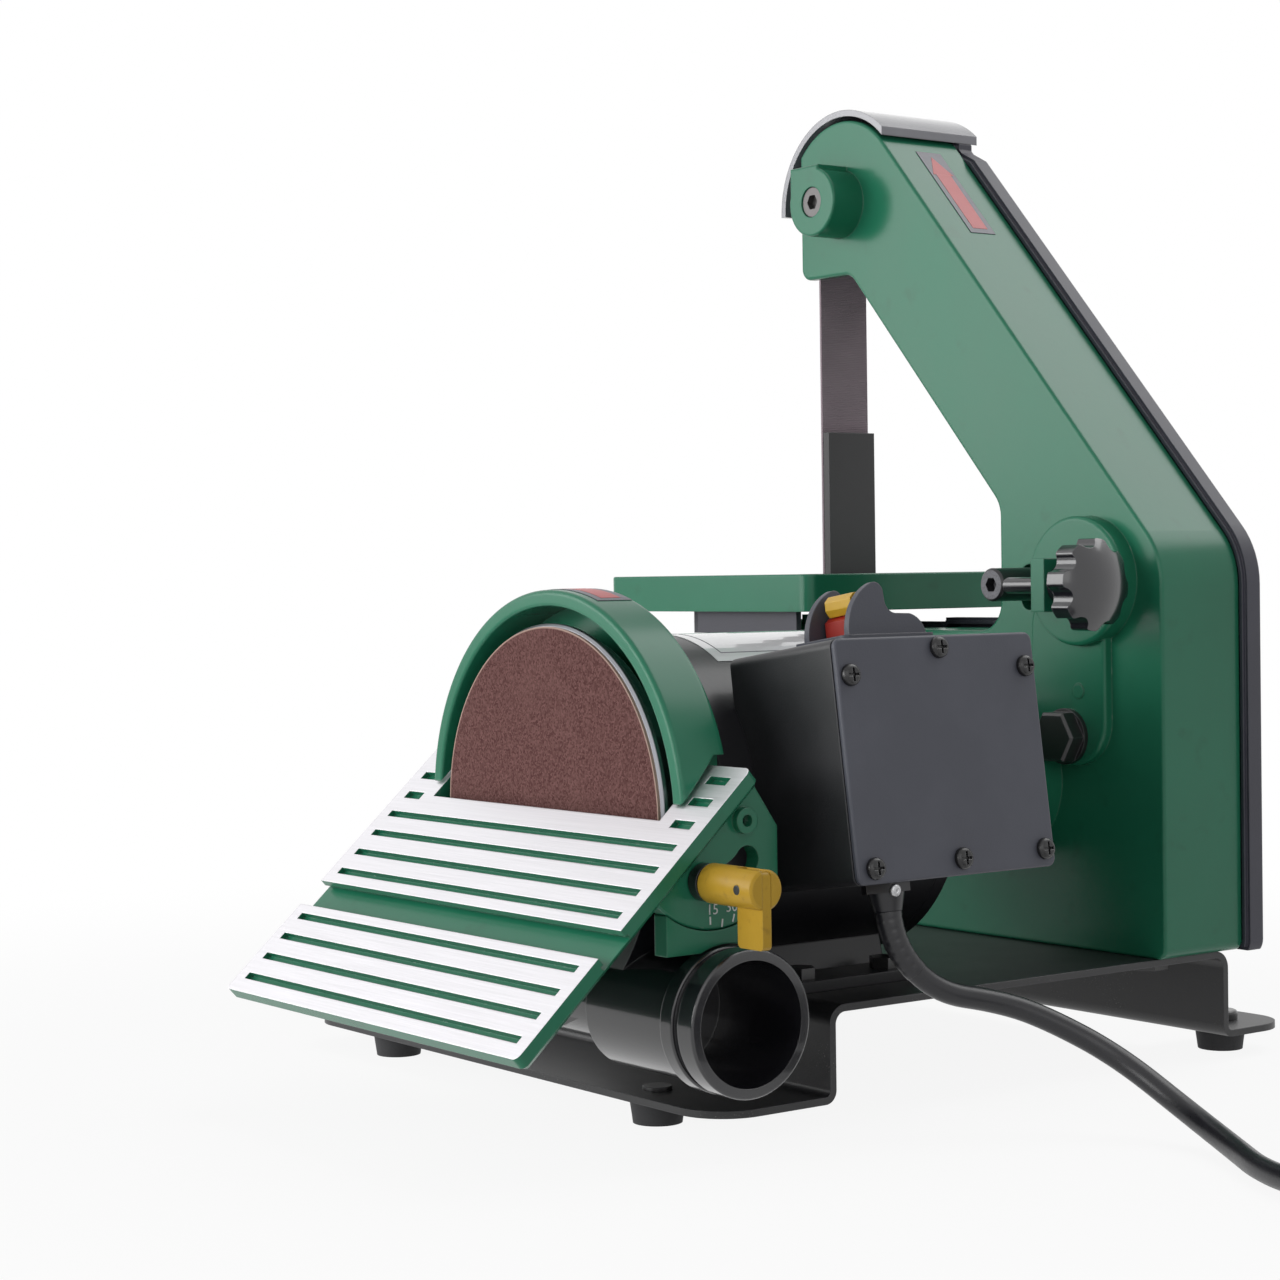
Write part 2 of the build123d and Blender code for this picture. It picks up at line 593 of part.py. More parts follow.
# Belt housing casting: face, band, neck to the motor, bosses for the wheels and the tension gear
with BuildPart() as belt_housing:
    with BuildSketch(side(face_x)):
        add(outline.sketch)
    extrude(amount=seam_x - face_x)
    fillet(belt_housing.faces().sort_by(Axis.X)[0].edges(), 1.3)
    with BuildSketch(side(face_x + 4)):
        add(outline.sketch)
        offset(amount=-wall, mode=Mode.REPLACE)
    extrude(amount=seam_x - face_x, mode=Mode.SUBTRACT)
    block((face_x + 4, seam_x + 1), (70.0, 140.0), (198.0, 280.0), Mode.SUBTRACT)
    block((face_x + 4, seam_x + 1), (105.0, 140.0), (12.0, 60.0), Mode.SUBTRACT)
    rod_x(face_x, seam_x, posts_at[0], 5)
    rod_x(face_x, seam_x, posts_at[1], 5)
    rod_x(face_x, seam_x, posts_at[2], 5)
    rod_x(face_x, seam_x, posts_at[3], 5)
    for bolt in housing_bolts_at:
        rod_z(top_z, top_z + 14, [bolt], 7)
    rod_x(197, face_x + 1, upper, 14)
    block((197, face_x + 1), (upper[0] - 4, upper[0] + 13.5), (upper[1], upper[1] + 15))
    fillet(flats_x(belt_housing, 197).edges(), 1.0)
    with BuildSketch(side(209)) as pad:
        with Locations((-38, 40)):
            RectangleRounded(38, 68, 17)
    extrude(amount=5)
    fillet(flats_x(belt_housing, 209).edges(), 1.5)
    rod_x(208.5, 210, (-44, 34), 2.8)
    rod_x(205, face_x + 1, (-46, 75), 24)
    fillet(flats_x(belt_housing, 205).edges(), 1.5)
    rod_x(152, face_x + 1, (0, 0), 31)
    rod_x(150, face_x, (0, 0), 26, Mode.SUBTRACT)
    rod_x(face_x - 1, face_x + 5, (0, 0), 10, Mode.SUBTRACT)
    block((lug_x, 206), lug_y, (knob_at[1] - 9.7, knob_at[1] + 9.7))
    rod_y(lug_y[1] + 1, lug_y[0] - 1, knob_at, 3.0 + running_gap, Mode.SUBTRACT)
    rod_x(207.3, face_x + 4, rest_lock, 9)
    block((face_x, face_x + 4), (104.0, 121.0), (45.0, 62.0))
    with BuildSketch(side(200)) as pin_slot:
        with Locations((tension[0] + 3.2, tension[1] - 1.2)):
            RectangleRounded(20.6, 17.4, 4)
    extrude(amount=20, mode=Mode.SUBTRACT)
    rod_x(196, 220, upper, 5.05, Mode.SUBTRACT)
    rod_x(196, 203, upper, 6.2, Mode.SUBTRACT)
    rod_x(200, 220, idler, 5.05, Mode.SUBTRACT)
    rod_x(200, 220, arm_pivot, 5.05, Mode.SUBTRACT)
    rod_x(200, 220, rest_lock, 4.05, Mode.SUBTRACT)
    rod_x(200, 220, (111.5, 53.5), 2.2, Mode.SUBTRACT)
    rod_x(200, 220, (111.5, 59), 2.2, Mode.SUBTRACT)
    for post in posts_at:
        rod_x(seam_x - 18, seam_x + 1, post, 2.1, Mode.SUBTRACT)
    rod_z(top_z - 1, top_z + 12.5, housing_bolts_at, 3.1, Mode.SUBTRACT)
save(belt_housing, "belt_housing")

# Edge of the cover that stands proud of the housing along the front and the slope, as y and z
cover_proud = 3.0
with BuildSketch() as proud_edge:
    add(outline.sketch)
    offset(amount=cover_proud, mode=Mode.REPLACE)
    with Locations((0, top_z - 10)):
        Rectangle(400, 20, mode=Mode.SUBTRACT)
    with BuildLine():
        Polyline((42.75, 240.1), (65.4, 252.1), (76.7, 242.2), (-60, 86.6), (-60, -100), (300, -100),
                 (300, 400), (42.75, 400), close=True)
    make_face(mode=Mode.SUBTRACT)

# Cover of the belt side: flat pan with a shallow seam recess along its joint
strip_radius = 36.0
with BuildPart() as belt_cover:
    with BuildSketch(side(seam_x + 1.5)) as pan:
        add(outline.sketch)
        with Locations((upper[0], upper[1])):
            Circle(strip_radius - 0.1)
        with Locations((upper[0], 229 - 100)):
            Rectangle(90, 200, mode=Mode.SUBTRACT)
        with Locations((upper[0] - 25.8 - 20, upper[1])):
            Rectangle(40, 80, mode=Mode.SUBTRACT)
        add(outline.sketch)
        with Locations((62, 57)):
            Rectangle(32, 6)
        with Locations((93, 56)):
            Rectangle(30, 4.4)
        add(proud_edge.sketch)
    extrude(amount=cover_x - seam_x - 1.5)
    fillet(belt_cover.faces().sort_by(Axis.X)[-1].edges(), 1.6)
    with BuildSketch(side(seam_x)) as lip:
        add(pan.sketch_local)
        offset(amount=-1.2, mode=Mode.REPLACE)
    extrude(amount=2)
    with BuildSketch(side(seam_x)) as room:
        add(pan.sketch_local)
        offset(amount=-2.6, mode=Mode.REPLACE)
    extrude(amount=cover_x - seam_x - 2, mode=Mode.SUBTRACT)
    block((seam_x - 1, cover_x - 2), (110.0, 140.0), (12.0, 60.0), Mode.SUBTRACT)
    rod_x(seam_x, cover_x - 1, posts_at[0], 5)
    rod_x(seam_x, cover_x - 1, posts_at[1], 5)
    rod_x(seam_x, cover_x - 1, posts_at[2], 5)
    rod_x(seam_x, cover_x - 1, posts_at[3], 5)
    for post in posts_at:
        rod_x(seam_x - 1, cover_x + 1, post, 2.3, Mode.SUBTRACT)
save(belt_cover, "belt_cover")

# Screws of the belt cover
with BuildPart() as cover_screws:
    for post in posts_at:
        rod_x(seam_x - 16, cover_x, post, 2.0)
        rod_x(cover_x, cover_x + 3, post, 4.4)
    chamfer(cover_screws.faces().filter_by(Axis.X).group_by(Axis.X)[-1].edges(), 0.9)
save(cover_screws, "cover_screws")

# Thin guard strip over the upper wheel
with BuildPart() as wheel_guard:
    with BuildSketch(side(face_x)) as strip:
        with Locations((upper[0], upper[1])):
            Circle(strip_radius + 2.6)
            Circle(strip_radius, mode=Mode.SUBTRACT)
        with Locations((upper[0], 230 - 100)):
            Rectangle(90, 200, mode=Mode.SUBTRACT)
        with Locations((upper[0] - 25.8 - 20, upper[1])):
            Rectangle(40, 80, mode=Mode.SUBTRACT)
    extrude(amount=cover_x + 2 - face_x)
save(wheel_guard, "wheel_guard")

wheel_x = (belt_x - belt_width / 2 - 0.3, belt_x + belt_width / 2 + 0.3)


def wheel_body(at, bore):
    """Wheel with a rim, a thin web and a hub."""
    rod_x(wheel_x[0], wheel_x[1], at, at[2])
    rod_x(wheel_x[0] - 1, belt_x - 4, at, at[2] - 4, Mode.SUBTRACT)
    rod_x(belt_x + 4, wheel_x[1] + 1, at, at[2] - 4, Mode.SUBTRACT)
    rod_x(belt_x - 8, belt_x + 8, at, bore + 4)
    rod_x(wheel_x[0] - 1, wheel_x[1] + 1, at, bore, Mode.SUBTRACT)


# Upper wheel
with BuildPart() as upper_wheel:
    wheel_body(upper, 11.0 + running_gap)
save(upper_wheel, "upper_wheel")

# Lower front idler
with BuildPart() as front_idler:
    wheel_body(idler, 11.0 + running_gap)
save(front_idler, "front_idler")

# Drive wheel on the motor shaft
with BuildPart() as drive_wheel:
    wheel_body(drive, journal_radius + 0.02)
save(drive_wheel, "drive_wheel")

# Axle of the upper wheel: socket-head bolt sunk in the boss, with an end collar
with BuildPart() as upper_axle:
    rod_x(197.6, 203, upper, 6.0)
    hex_x(197, 200.5, upper, 5.5, Mode.SUBTRACT)
    rod_x(203, seam_x + 1, upper, 5.0)
    rod_x(seam_x - 1, seam_x + 1, upper, 7.5)
save(upper_axle, "upper_axle")

# Axle of the lower front idler: hexagon bolt with an end collar
with BuildPart() as front_axle:
    hex_x(206.5, face_x, idler, 15.0)
    rod_x(face_x, seam_x + 1, idler, 5.0)
    rod_x(seam_x - 1, seam_x + 1, idler, 7.5)
save(front_axle, "front_axle")

# Bearings on the two fixed axles
with BuildPart() as wheel_bearings:
    for at in (upper, idler):
        rod_x(belt_x - 7.5, belt_x + 7.5, at, 11.0)
        rod_x(belt_x - 9, belt_x + 9, at, 5.02, Mode.SUBTRACT)
save(wheel_bearings, "wheel_bearings")

# Swing arm of the tension roller
with BuildPart() as tension_arm:
    with BuildSketch(side(face_x + 4.6)):
        with Locations(arm_pivot):
            Circle(10)
        with Locations((tension[0], tension[1])):
            Circle(9)
        make_hull()
        with Locations(arm_pivot):
            Circle(5.0 + running_gap, mode=Mode.SUBTRACT)
        with Locations((tension[0], tension[1])):
            Circle(5.02, mode=Mode.SUBTRACT)
    extrude(amount=4)
save(tension_arm, "tension_arm")

# Tension pin: handle outside, axle of the roller inside
pin_radius = 6.2
with BuildPart() as tension_pin:
    rod_x(184, face_x + 4.6, tension, pin_radius)
    chamfer(tension_pin.edges().filter_by(GeomType.CIRCLE).group_by(Axis.X)[0], 0.8)
    hex_x(183, 188, tension, 5.0, Mode.SUBTRACT)
    rod_x(face_x + 4.6, seam_x + 1, tension, 5.0)
    rod_x(seam_x - 0.8, seam_x + 1, tension, 7.0)
save(tension_pin, "tension_pin")

# Tension roller
with BuildPart() as tension_roller:
    rod_x(wheel_x[0], wheel_x[1], tension, tension[2])
    rod_x(wheel_x[0] - 1, wheel_x[1] + 1, tension, 5.0 + running_gap, Mode.SUBTRACT)
save(tension_roller, "tension_roller")

# Hexagon bolt on which the arm swings
with BuildPart() as pivot_bolt:
    hex_x(200.5, 207, arm_pivot, 18.0)
    chamfer(pivot_bolt.faces().filter_by(Axis.X).group_by(Axis.X)[0].edges(), 0.9)
    rod_x(207, 209, arm_pivot, 10.5)
    rod_x(209, 226, arm_pivot, 5.0)
save(pivot_bolt, "pivot_bolt")

# Torsion spring round the end of the pivot bolt
spring_from = (disc_x + face_x + 9.6, axis_y + arm_pivot[0], shaft_height + arm_pivot[1])
wind = Helix(1.3, 2.6, 7.0).moved(Location(spring_from, (0, 90, 0)))
with BuildPart() as tension_spring:
    with BuildLine():
        add(wind)
    with BuildSketch(Plane(origin=wind @ 0, z_dir=wind % 0)):
        Circle(0.5)
    sweep(is_frenet=True)
save(tension_spring, "tension_spring")

# Star knob: domed head with flutes on a screw that bears on the tension pin
dome_radius = 30.0
dome_back = knob_back - 8.0 + (dome_radius**2 - knob_radius**2) ** 0.5
with BuildPart() as star_knob:
    with BuildSketch(front(knob_back)) as lobes:
        with Locations(knob_at):
            Circle(knob_radius)
            with PolarLocations(knob_radius + 1.0, 8, start_angle=105):
                Circle(3.9, mode=Mode.SUBTRACT)
        fillet(lobes.vertices(), 1.4)
    extrude(amount=20)
    with Locations((disc_x + knob_at[0], axis_y + dome_back, shaft_height + knob_at[1])):
        Sphere(dome_radius, mode=Mode.INTERSECT)
    rod_y(lug_y[0] - 0.4, knob_back, knob_at, 7.0)
    rod_y(tension[0] - pin_radius - 0.4, lug_y[0], knob_at, 3.0)
save(star_knob, "star_knob")

# Endless abrasive belt
loop = (upper, idler, drive, tension)
belt_edge = (belt_x - belt_width / 2, belt_x + belt_width / 2)
with BuildPart() as sanding_belt:
    for grow, mode in ((belt_gap + belt_thick, Mode.ADD), (belt_gap, Mode.SUBTRACT)):
        with BuildSketch(side(belt_edge[0])) as ring:
            for at in loop:
                with Locations((at[0], at[1])):
                    Circle(at[2] + grow)
            make_hull()
        extrude(ring.sketch, amount=belt_width, mode=mode)
save(sanding_belt, "sanding_belt")
print("belt length", round(sanding_belt.part.volume / (belt_width * belt_thick), 1))

# Platen behind the working run, on a foot that bolts to the housing face
run_y = upper[0] + upper[2] + belt_gap
with BuildPart() as platen:
    block((belt_edge[0], belt_edge[1]), (run_y - 4.0, run_y - 0.4), (51.0, 139.0))
    block((face_x + 4, belt_edge[1]), (107.0, run_y - 4.0), (50.0, 62.0))
    rod_x(face_x, face_x + 20, (111.5, 53.5), 2.05, Mode.SUBTRACT)
    rod_x(face_x, face_x + 20, (111.5, 59), 2.05, Mode.SUBTRACT)
save(platen, "platen")

# Screws of the platen foot
with BuildPart() as platen_screws:
    for screw_z in (53.5, 59.0):
        rod_x(210.5, face_x, (111.5, screw_z), 2.9)
        rod_x(face_x, face_x + 18, (111.5, screw_z), 2.0)
save(platen_screws, "platen_screws")

# Belt table: ribbed plate with a slot that is open towards the belt cover
with BuildPart() as belt_table:
    with BuildSketch(level(rest_top - 15)) as slab:
        with Locations(((rest_x[0] + rest_x[1]) / 2, (rest_y[0] + rest_y[1]) / 2)):
            RectangleRounded(rest_x[1] - rest_x[0], rest_y[1] - rest_y[0], 6)
    extrude(amount=15)
    fillet(belt_table.faces().sort_by(Axis.Z)[-1].edges(), 0.8)
    with BuildSketch(level(rest_top - 15)) as pocket:
        with Locations(((rest_x[0] + rest_x[1]) / 2, (rest_y[0] + rest_y[1]) / 2)):
            RectangleRounded(rest_x[1] - rest_x[0] - 10, rest_y[1] - rest_y[0] - 10, 4)
    extrude(amount=9, mode=Mode.SUBTRACT)
    block((224.0, rest_x[1] + 1), (114.0, 130.0), (rest_top - 16, rest_top + 1), Mode.SUBTRACT)
    with BuildSketch(level(rest_top - 6)) as tapped:
        with Locations((196, 134), (196, 172)):
            Circle(2.1)
    extrude(amount=4, mode=Mode.SUBTRACT)
save(belt_table, "belt_table")

# Trunnion plate under the belt table
rest_arc = CenterArc(rest_axis, rest_lock_radius, -93, 51)
with BuildPart() as belt_trunnion:
    with BuildSketch(side(203)) as sector:
        with Locations(rest_axis):
            Circle(38)
        with Locations((rest_axis[0], rest_top + 30)):
            Rectangle(200, 72, mode=Mode.SUBTRACT)
        with Locations((rest_axis[0] - 46, 60)):
            Rectangle(80, 90, mode=Mode.SUBTRACT)
        with Locations(((120 + 183) / 2, 63.5)):
            Rectangle(63, 19)
        SlotArc(rest_arc, 9.0, mode=Mode.SUBTRACT)
    extrude(amount=4)
    block((189, 207), (122, 181), (rest_top - 9, rest_top - 6))
    block((176, 190), (122, 145), (rest_top - 9, rest_top - 6))
    block((176, 178.5), (80, 145), (rest_top - 24, rest_top - 6))
    rod_z(60, 80, [(196, 134), (196, 172)], 2.2, Mode.SUBTRACT)
save(belt_trunnion, "belt_trunnion")

# Screws between belt table and trunnion
with BuildPart() as rest_screws:
    rod_z(rest_top - 9, rest_top - 2.5, [(196, 134), (196, 172)], 2.0)
    rod_z(rest_top - 12, rest_top - 9, [(196, 134), (196, 172)], 4.0)
save(rest_screws, "rest_screws")

# Lock lever of the belt table
with BuildPart() as belt_lever:
    rod_x(181, 202.6, rest_lock, 6.5)
    chamfer(belt_lever.edges().filter_by(GeomType.CIRCLE), 0.8)
    rod_x(187, 203, rest_lock, 4.0 + running_gap, Mode.SUBTRACT)
    block((182.5, 186), (rest_lock[0] - 6, rest_lock[0] + 6), (rest_lock[1] - 28, rest_lock[1]))
save(belt_lever, "belt_lever")

# Switch box, leaning back against the motor
lean = radians(box_lean)
box_out = (0, -cos(lean), sin(lean))
box_up = (0, sin(lean), cos(lean))
box_corner = (disc_x + box_mid, axis_y - motor_radius - 40.5, shaft_height + motor_radius)
box_face = Plane(origin=box_corner, x_dir=(1, 0, 0), z_dir=box_out)
box_roof = Plane(origin=box_corner, x_dir=(1, 0, 0), z_dir=box_up)
cover_thick = 2.5
box_front = box_face.offset(-cover_thick)
gland_at = (-25.0, 9.0)
screws_at = [(-38.5, -12.0), (0.5, -4.2), (38.6, -11.5), (-36.5, -74.0), (1.5, -73.5), (38.7, -73.0)]
with BuildPart() as switch_box:
    with BuildSketch(box_front) as shell:
        with Locations((0, -box_height / 2)):
            RectangleRounded(box_width, box_height, 3)
    extrude(amount=-box_depth)
    with BuildSketch(box_front) as room:
        with Locations((0, -box_height / 2)):
            RectangleRounded(box_width - 5, box_height - 5, 1.5)
    extrude(amount=-box_depth + 3, mode=Mode.SUBTRACT)
    with BuildSketch(box_front) as pillars:
        with Locations(*screws_at):
            Circle(3.4)
    extrude(amount=-10)
    with BuildSketch(box_front) as taps:
        with Locations(*screws_at):
            Circle(1.6)
    extrude(amount=-9, mode=Mode.SUBTRACT)
    with BuildSketch(box_roof.offset(1)) as window:
        with Locations((-12, 22.5)):
            Rectangle(32.4, 17.4)
    extrude(amount=-6, mode=Mode.SUBTRACT)
    rod_x(25, 140, (0, 0), motor_radius + 0.05, Mode.SUBTRACT)
    with BuildSketch(box_roof.offset(-box_height - 2)) as cord_hole:
        with Locations(gland_at):
            Circle(6.05)
    extrude(amount=6, mode=Mode.SUBTRACT)
save(switch_box, "switch_box")

# Cover plate of the switch box
with BuildPart() as switch_cover:
    with BuildSketch(box_front) as sheet_plan:
        with Locations((0, -box_height / 2)):
            RectangleRounded(box_width, box_height, 3)
        with Locations(*screws_at):
            Circle(1.8, mode=Mode.SUBTRACT)
    extrude(amount=cover_thick)
    fillet(switch_cover.faces().sort_by(Axis.Y)[0].outer_wire().edges(), 1.0)
save(switch_cover, "switch_cover")

# Cross-head screws of the cover
with BuildPart() as box_screws:
    with BuildSketch(box_face) as heads:
        with Locations(*screws_at):
            Circle(3.6)
    extrude(amount=2.3)
    rims = box_screws.faces().filter_by(GeomType.PLANE).sort_by(lambda f: f.center().dot(box_face.z_dir))
    fillet(rims[-6:].edges(), 1.6)
    with BuildSketch(box_face) as shanks:
        with Locations(*screws_at):
            Circle(1.5)
    extrude(amount=-11)
    with BuildSketch(box_face.offset(1.0)) as cross:
        with Locations(*screws_at):
            Rectangle(4.4, 0.9)
            Rectangle(0.9, 4.4)
    extrude(amount=2, mode=Mode.SUBTRACT)
save(box_screws, "box_screws")


def ear_plane(depth):
    """Plane facing the switch side on the box roof; local axes are X from the disc and height."""
    spot = [box_corner[i] + depth * (0, cos(lean), -sin(lean))[i] for i in range(3)]
    return Plane(origin=(disc_x, spot[1], spot[2]), x_dir=(1, 0, 0), z_dir=box_out)


# Switch: body in the box, bezel on the roof, two guard ears and the pin of the paddle
paddle_pivot = (77.0, 5.9)
with BuildPart() as switch_guard:
    with BuildSketch(box_roof) as bezel:
        with Locations((-11, 22.5)):
            RectangleRounded(40, 27, 3)
    extrude(amount=2)
    with BuildSketch(box_roof) as body:
        with Locations((-12, 22.5)):
            Rectangle(32, 17)
    extrude(amount=-20)
    for depth in (13.5, 34.0):
        with BuildSketch(ear_plane(depth)) as ear:
            with BuildLine():
                ThreePointArc((59.6, 1), (62.5, 12), (71.5, 19.3))
                ThreePointArc((71.5, 19.3), (75.0, 18.3), (76.0, 15.6))
                Line((76.0, 15.6), (76.2, 13.5))
                ThreePointArc((76.2, 13.5), (77.4, 10.4), (80.4, 8.9))
                Line((80.4, 8.9), (86.5, 8.7))
                ThreePointArc((86.5, 8.7), (91.0, 6.2), (93.2, 1))
                Line((93.2, 1), (59.6, 1))
            make_face()
        extrude(amount=2.5)
    with BuildSketch(ear_plane(33.0)) as pivot:
        with Locations(paddle_pivot):
            Circle(1.5)
    extrude(amount=21)
save(switch_guard, "switch_guard")

# Paddle between the ears
with BuildPart() as switch_paddle:
    with BuildSketch(ear_plane(30.5)) as flap:
        with BuildLine():
            Polyline((66.3, 2.7), (66.3, 8.2), (68.3, 9.8), (74.5, 9.8), (77, 9.1), (77, 2.7), close=True)
        make_face()
        fillet(nearest(flap, (68.3, 9.8)), 1.5)
        with Locations(paddle_pivot):
            Circle(3.2)
            Circle(1.5 + running_gap, mode=Mode.SUBTRACT)
    extrude(amount=16)
save(switch_paddle, "switch_paddle")

# Removable key on the paddle
with BuildPart() as switch_key:
    with BuildSketch(ear_plane(29.0)) as grip:
        with BuildLine():
            Polyline((67.3, 9.8), (65.8, 12), (65.8, 15), (67.6, 16.8), (72, 16.8), (74, 9.8), close=True)
        make_face()
        fillet(nearest(grip, (67.6, 16.8), (65.8, 15), (72, 16.8)), 0.8)
    extrude(amount=13)
save(switch_key, "switch_key")

# Cord gland: sleeve through the floor of the box, flange, and a tapered relief below it
gland_root = box_roof.offset(-box_height).from_local_coords((gland_at[0], gland_at[1], 0))
gland_plane = Plane(origin=gland_root, x_dir=(1, 0, 0), z_dir=tuple(-c for c in box_up))
with BuildPart() as cord_gland:
    with BuildSketch(gland_plane.offset(-12)):
        Circle(6.0)
    extrude(amount=12)
    with BuildSketch(gland_plane):
        RegularPolygon(7.2, 6, major_radius=False)
    extrude(amount=3)
    with BuildSketch(gland_plane.offset(3)):
        Circle(6.0)
    with BuildSketch(gland_plane.offset(9)):
        Circle(4.6)
    loft()
save(cord_gland, "cord_gland")

# Mains cord from the gland to the bench and out to the coil
lie_z = cord_dia / 2
coil_z = lie_z + coil_lift
cord_from = gland_plane.from_local_coords((0, 0, 9))
cord_first = gland_plane.from_local_coords((0, 0, 23))
route = [
    (cord_from.X, cord_from.Y, cord_from.Z),
    (cord_first.X, cord_first.Y, cord_first.Z),
    (disc_x + 71.5, axis_y - 107.5, shaft_height - 54.5),
    (disc_x + 88.0, axis_y - 112.5, shaft_height - 61.0),
    (disc_x + 108.0, axis_y - 121.0, shaft_height - 68.0),
    (disc_x + 127.0, axis_y - 138.0, shaft_height - 79.5),
    (disc_x + 134.0, axis_y - 166.0, shaft_height - 93.5),
    (disc_x + 126.0, axis_y - 194.0, lie_z + 0.1),
    (disc_x + 108.0, axis_y - 222.0, lie_z + 0.1),
    (disc_x + 94.0, axis_y - 250.0, coil_z),
    (disc_x + 83.0, axis_y - 279.0, coil_z),
]


def bend_radii(points):
    """Radius at each inner corner: 0.45 of the shorter run over the tangent of half the turn."""
    found = []
    for a, b, c in zip(points, points[1:], points[2:]):
        before = Vector(*b) - Vector(*a)
        after = Vector(*c) - Vector(*b)
        turn = radians(before.get_angle(after))
        found.append(0.45 * min(before.length, after.length) / tan(turn / 2))
    return found


radii = bend_radii(route)
print("cord radii", [round(r, 1) for r in radii])
with BuildPart() as power_cord:
    with BuildLine() as run:
        FilletPolyline(*route, radius=radii)
    with BuildSketch(gland_plane.offset(9)):
        Circle(cord_dia / 2)
    sweep()
save(power_cord, "power_cord")
cord_length = run.wires()[0].length
print("cord volume ratio", round(power_cord.part.volume / (pi * cord_dia**2 / 4 * cord_length), 4))

# Coil: half turns spiral in on the lower layer, climb one layer at the middle, and spiral out above
last, before_last = Vector(*route[-1]), Vector(*route[-2])
ahead = (last - before_last).normalized()
leftward = Vector(-ahead.Y, ahead.X, 0)
reach = 2 * coil_radius
stops = [0, reach, coil_pitch, reach - coil_pitch, 2 * coil_pitch, reach - 2 * coil_pitch, 3 * coil_pitch]
stops += [reach - 3 * coil_pitch, 2 * coil_pitch, reach - 2 * coil_pitch, coil_pitch, reach - coil_pitch, 0]
heights = [0] * 7 + [coil_pitch] * 6
tail = 46.0
with BuildPart() as cord_coil:
    with BuildLine() as wound:
        sense = 1
        for i in range(12):
            here = last + leftward * stops[i] + Vector(0, 0, heights[i])
            there = last + leftward * stops[i + 1] + Vector(0, 0, heights[i + 1])
            middle = (here + there) * 0.5 + ahead * (sense * (there - here).length / 2)
            ThreePointArc(here, middle, there)
            sense = -sense
        Line(there, there + ahead * tail)
    with BuildSketch(Plane(origin=last, x_dir=leftward, z_dir=ahead)):
        Circle(cord_dia / 2)
    sweep()
save(cord_coil, "cord_coil")
coil_length = wound.wires()[0].length
print("coil volume ratio", round(cord_coil.part.volume / (pi * cord_dia**2 / 4 * coil_length), 4))
steps = 1200
trace = [wound.wires()[0].position_at(i / steps) for i in range(steps + 1)]
window = int(steps * 60 / coil_length)
gap = min(
    (trace[i] - trace[j]).length
    for i in range(0, steps + 1, 4)
    for j in range(i + window, steps + 1)
)
print("coil self gap", round(gap - cord_dia, 2), "lead", round((cord_length + coil_length) / 1000, 3), "m")

# Tie round the two layers, opposite the tail
tie_plane = Plane(origin=last + leftward * (coil_radius - 4), x_dir=-ahead, z_dir=leftward)
tie_low = -cord_dia / 2 - 0.4
tie_high = coil_pitch + cord_dia / 2 + 0.4
with BuildPart() as cord_tie:
    with BuildSketch(tie_plane):
        with Locations(((26.2 + 52.8) / 2, (tie_low + tie_high) / 2)):
            RectangleRounded(52.8 - 26.2 + 2.2, tie_high - tie_low + 2.2, 2.5)
            RectangleRounded(52.8 - 26.2, tie_high - tie_low, 1.6, mode=Mode.SUBTRACT)
    extrude(amount=8)
save(cord_tie, "cord_tie")

# Plug lying beside the coil
plug_at = last + Vector(0, 0, coil_pitch) + ahead * tail
plug_plane = Plane(origin=plug_at, x_dir=leftward, z_dir=ahead)
with BuildPart() as plug:
    with BuildSketch(plug_plane):
        Circle(5.2)
    with BuildSketch(plug_plane.offset(24)):
        Circle(7.2)
    loft()
    with BuildSketch(plug_plane.offset(22)):
        RectangleRounded(25, 26, 7)
    extrude(amount=24)
    with BuildSketch(plug_plane.offset(46)):
        with Locations((6.35, 3), (-6.35, 3)):
            Rectangle(1.5, 6.5)
    extrude(amount=17)
    with BuildSketch(plug_plane.offset(46)):
        with Locations((0, -6.5)):
            Circle(2.4)
    extrude(amount=20)
save(plug, "plug")
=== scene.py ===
import bmesh
import bpy
from math import cos, pi, radians, sin
from mathutils import Matrix, Vector


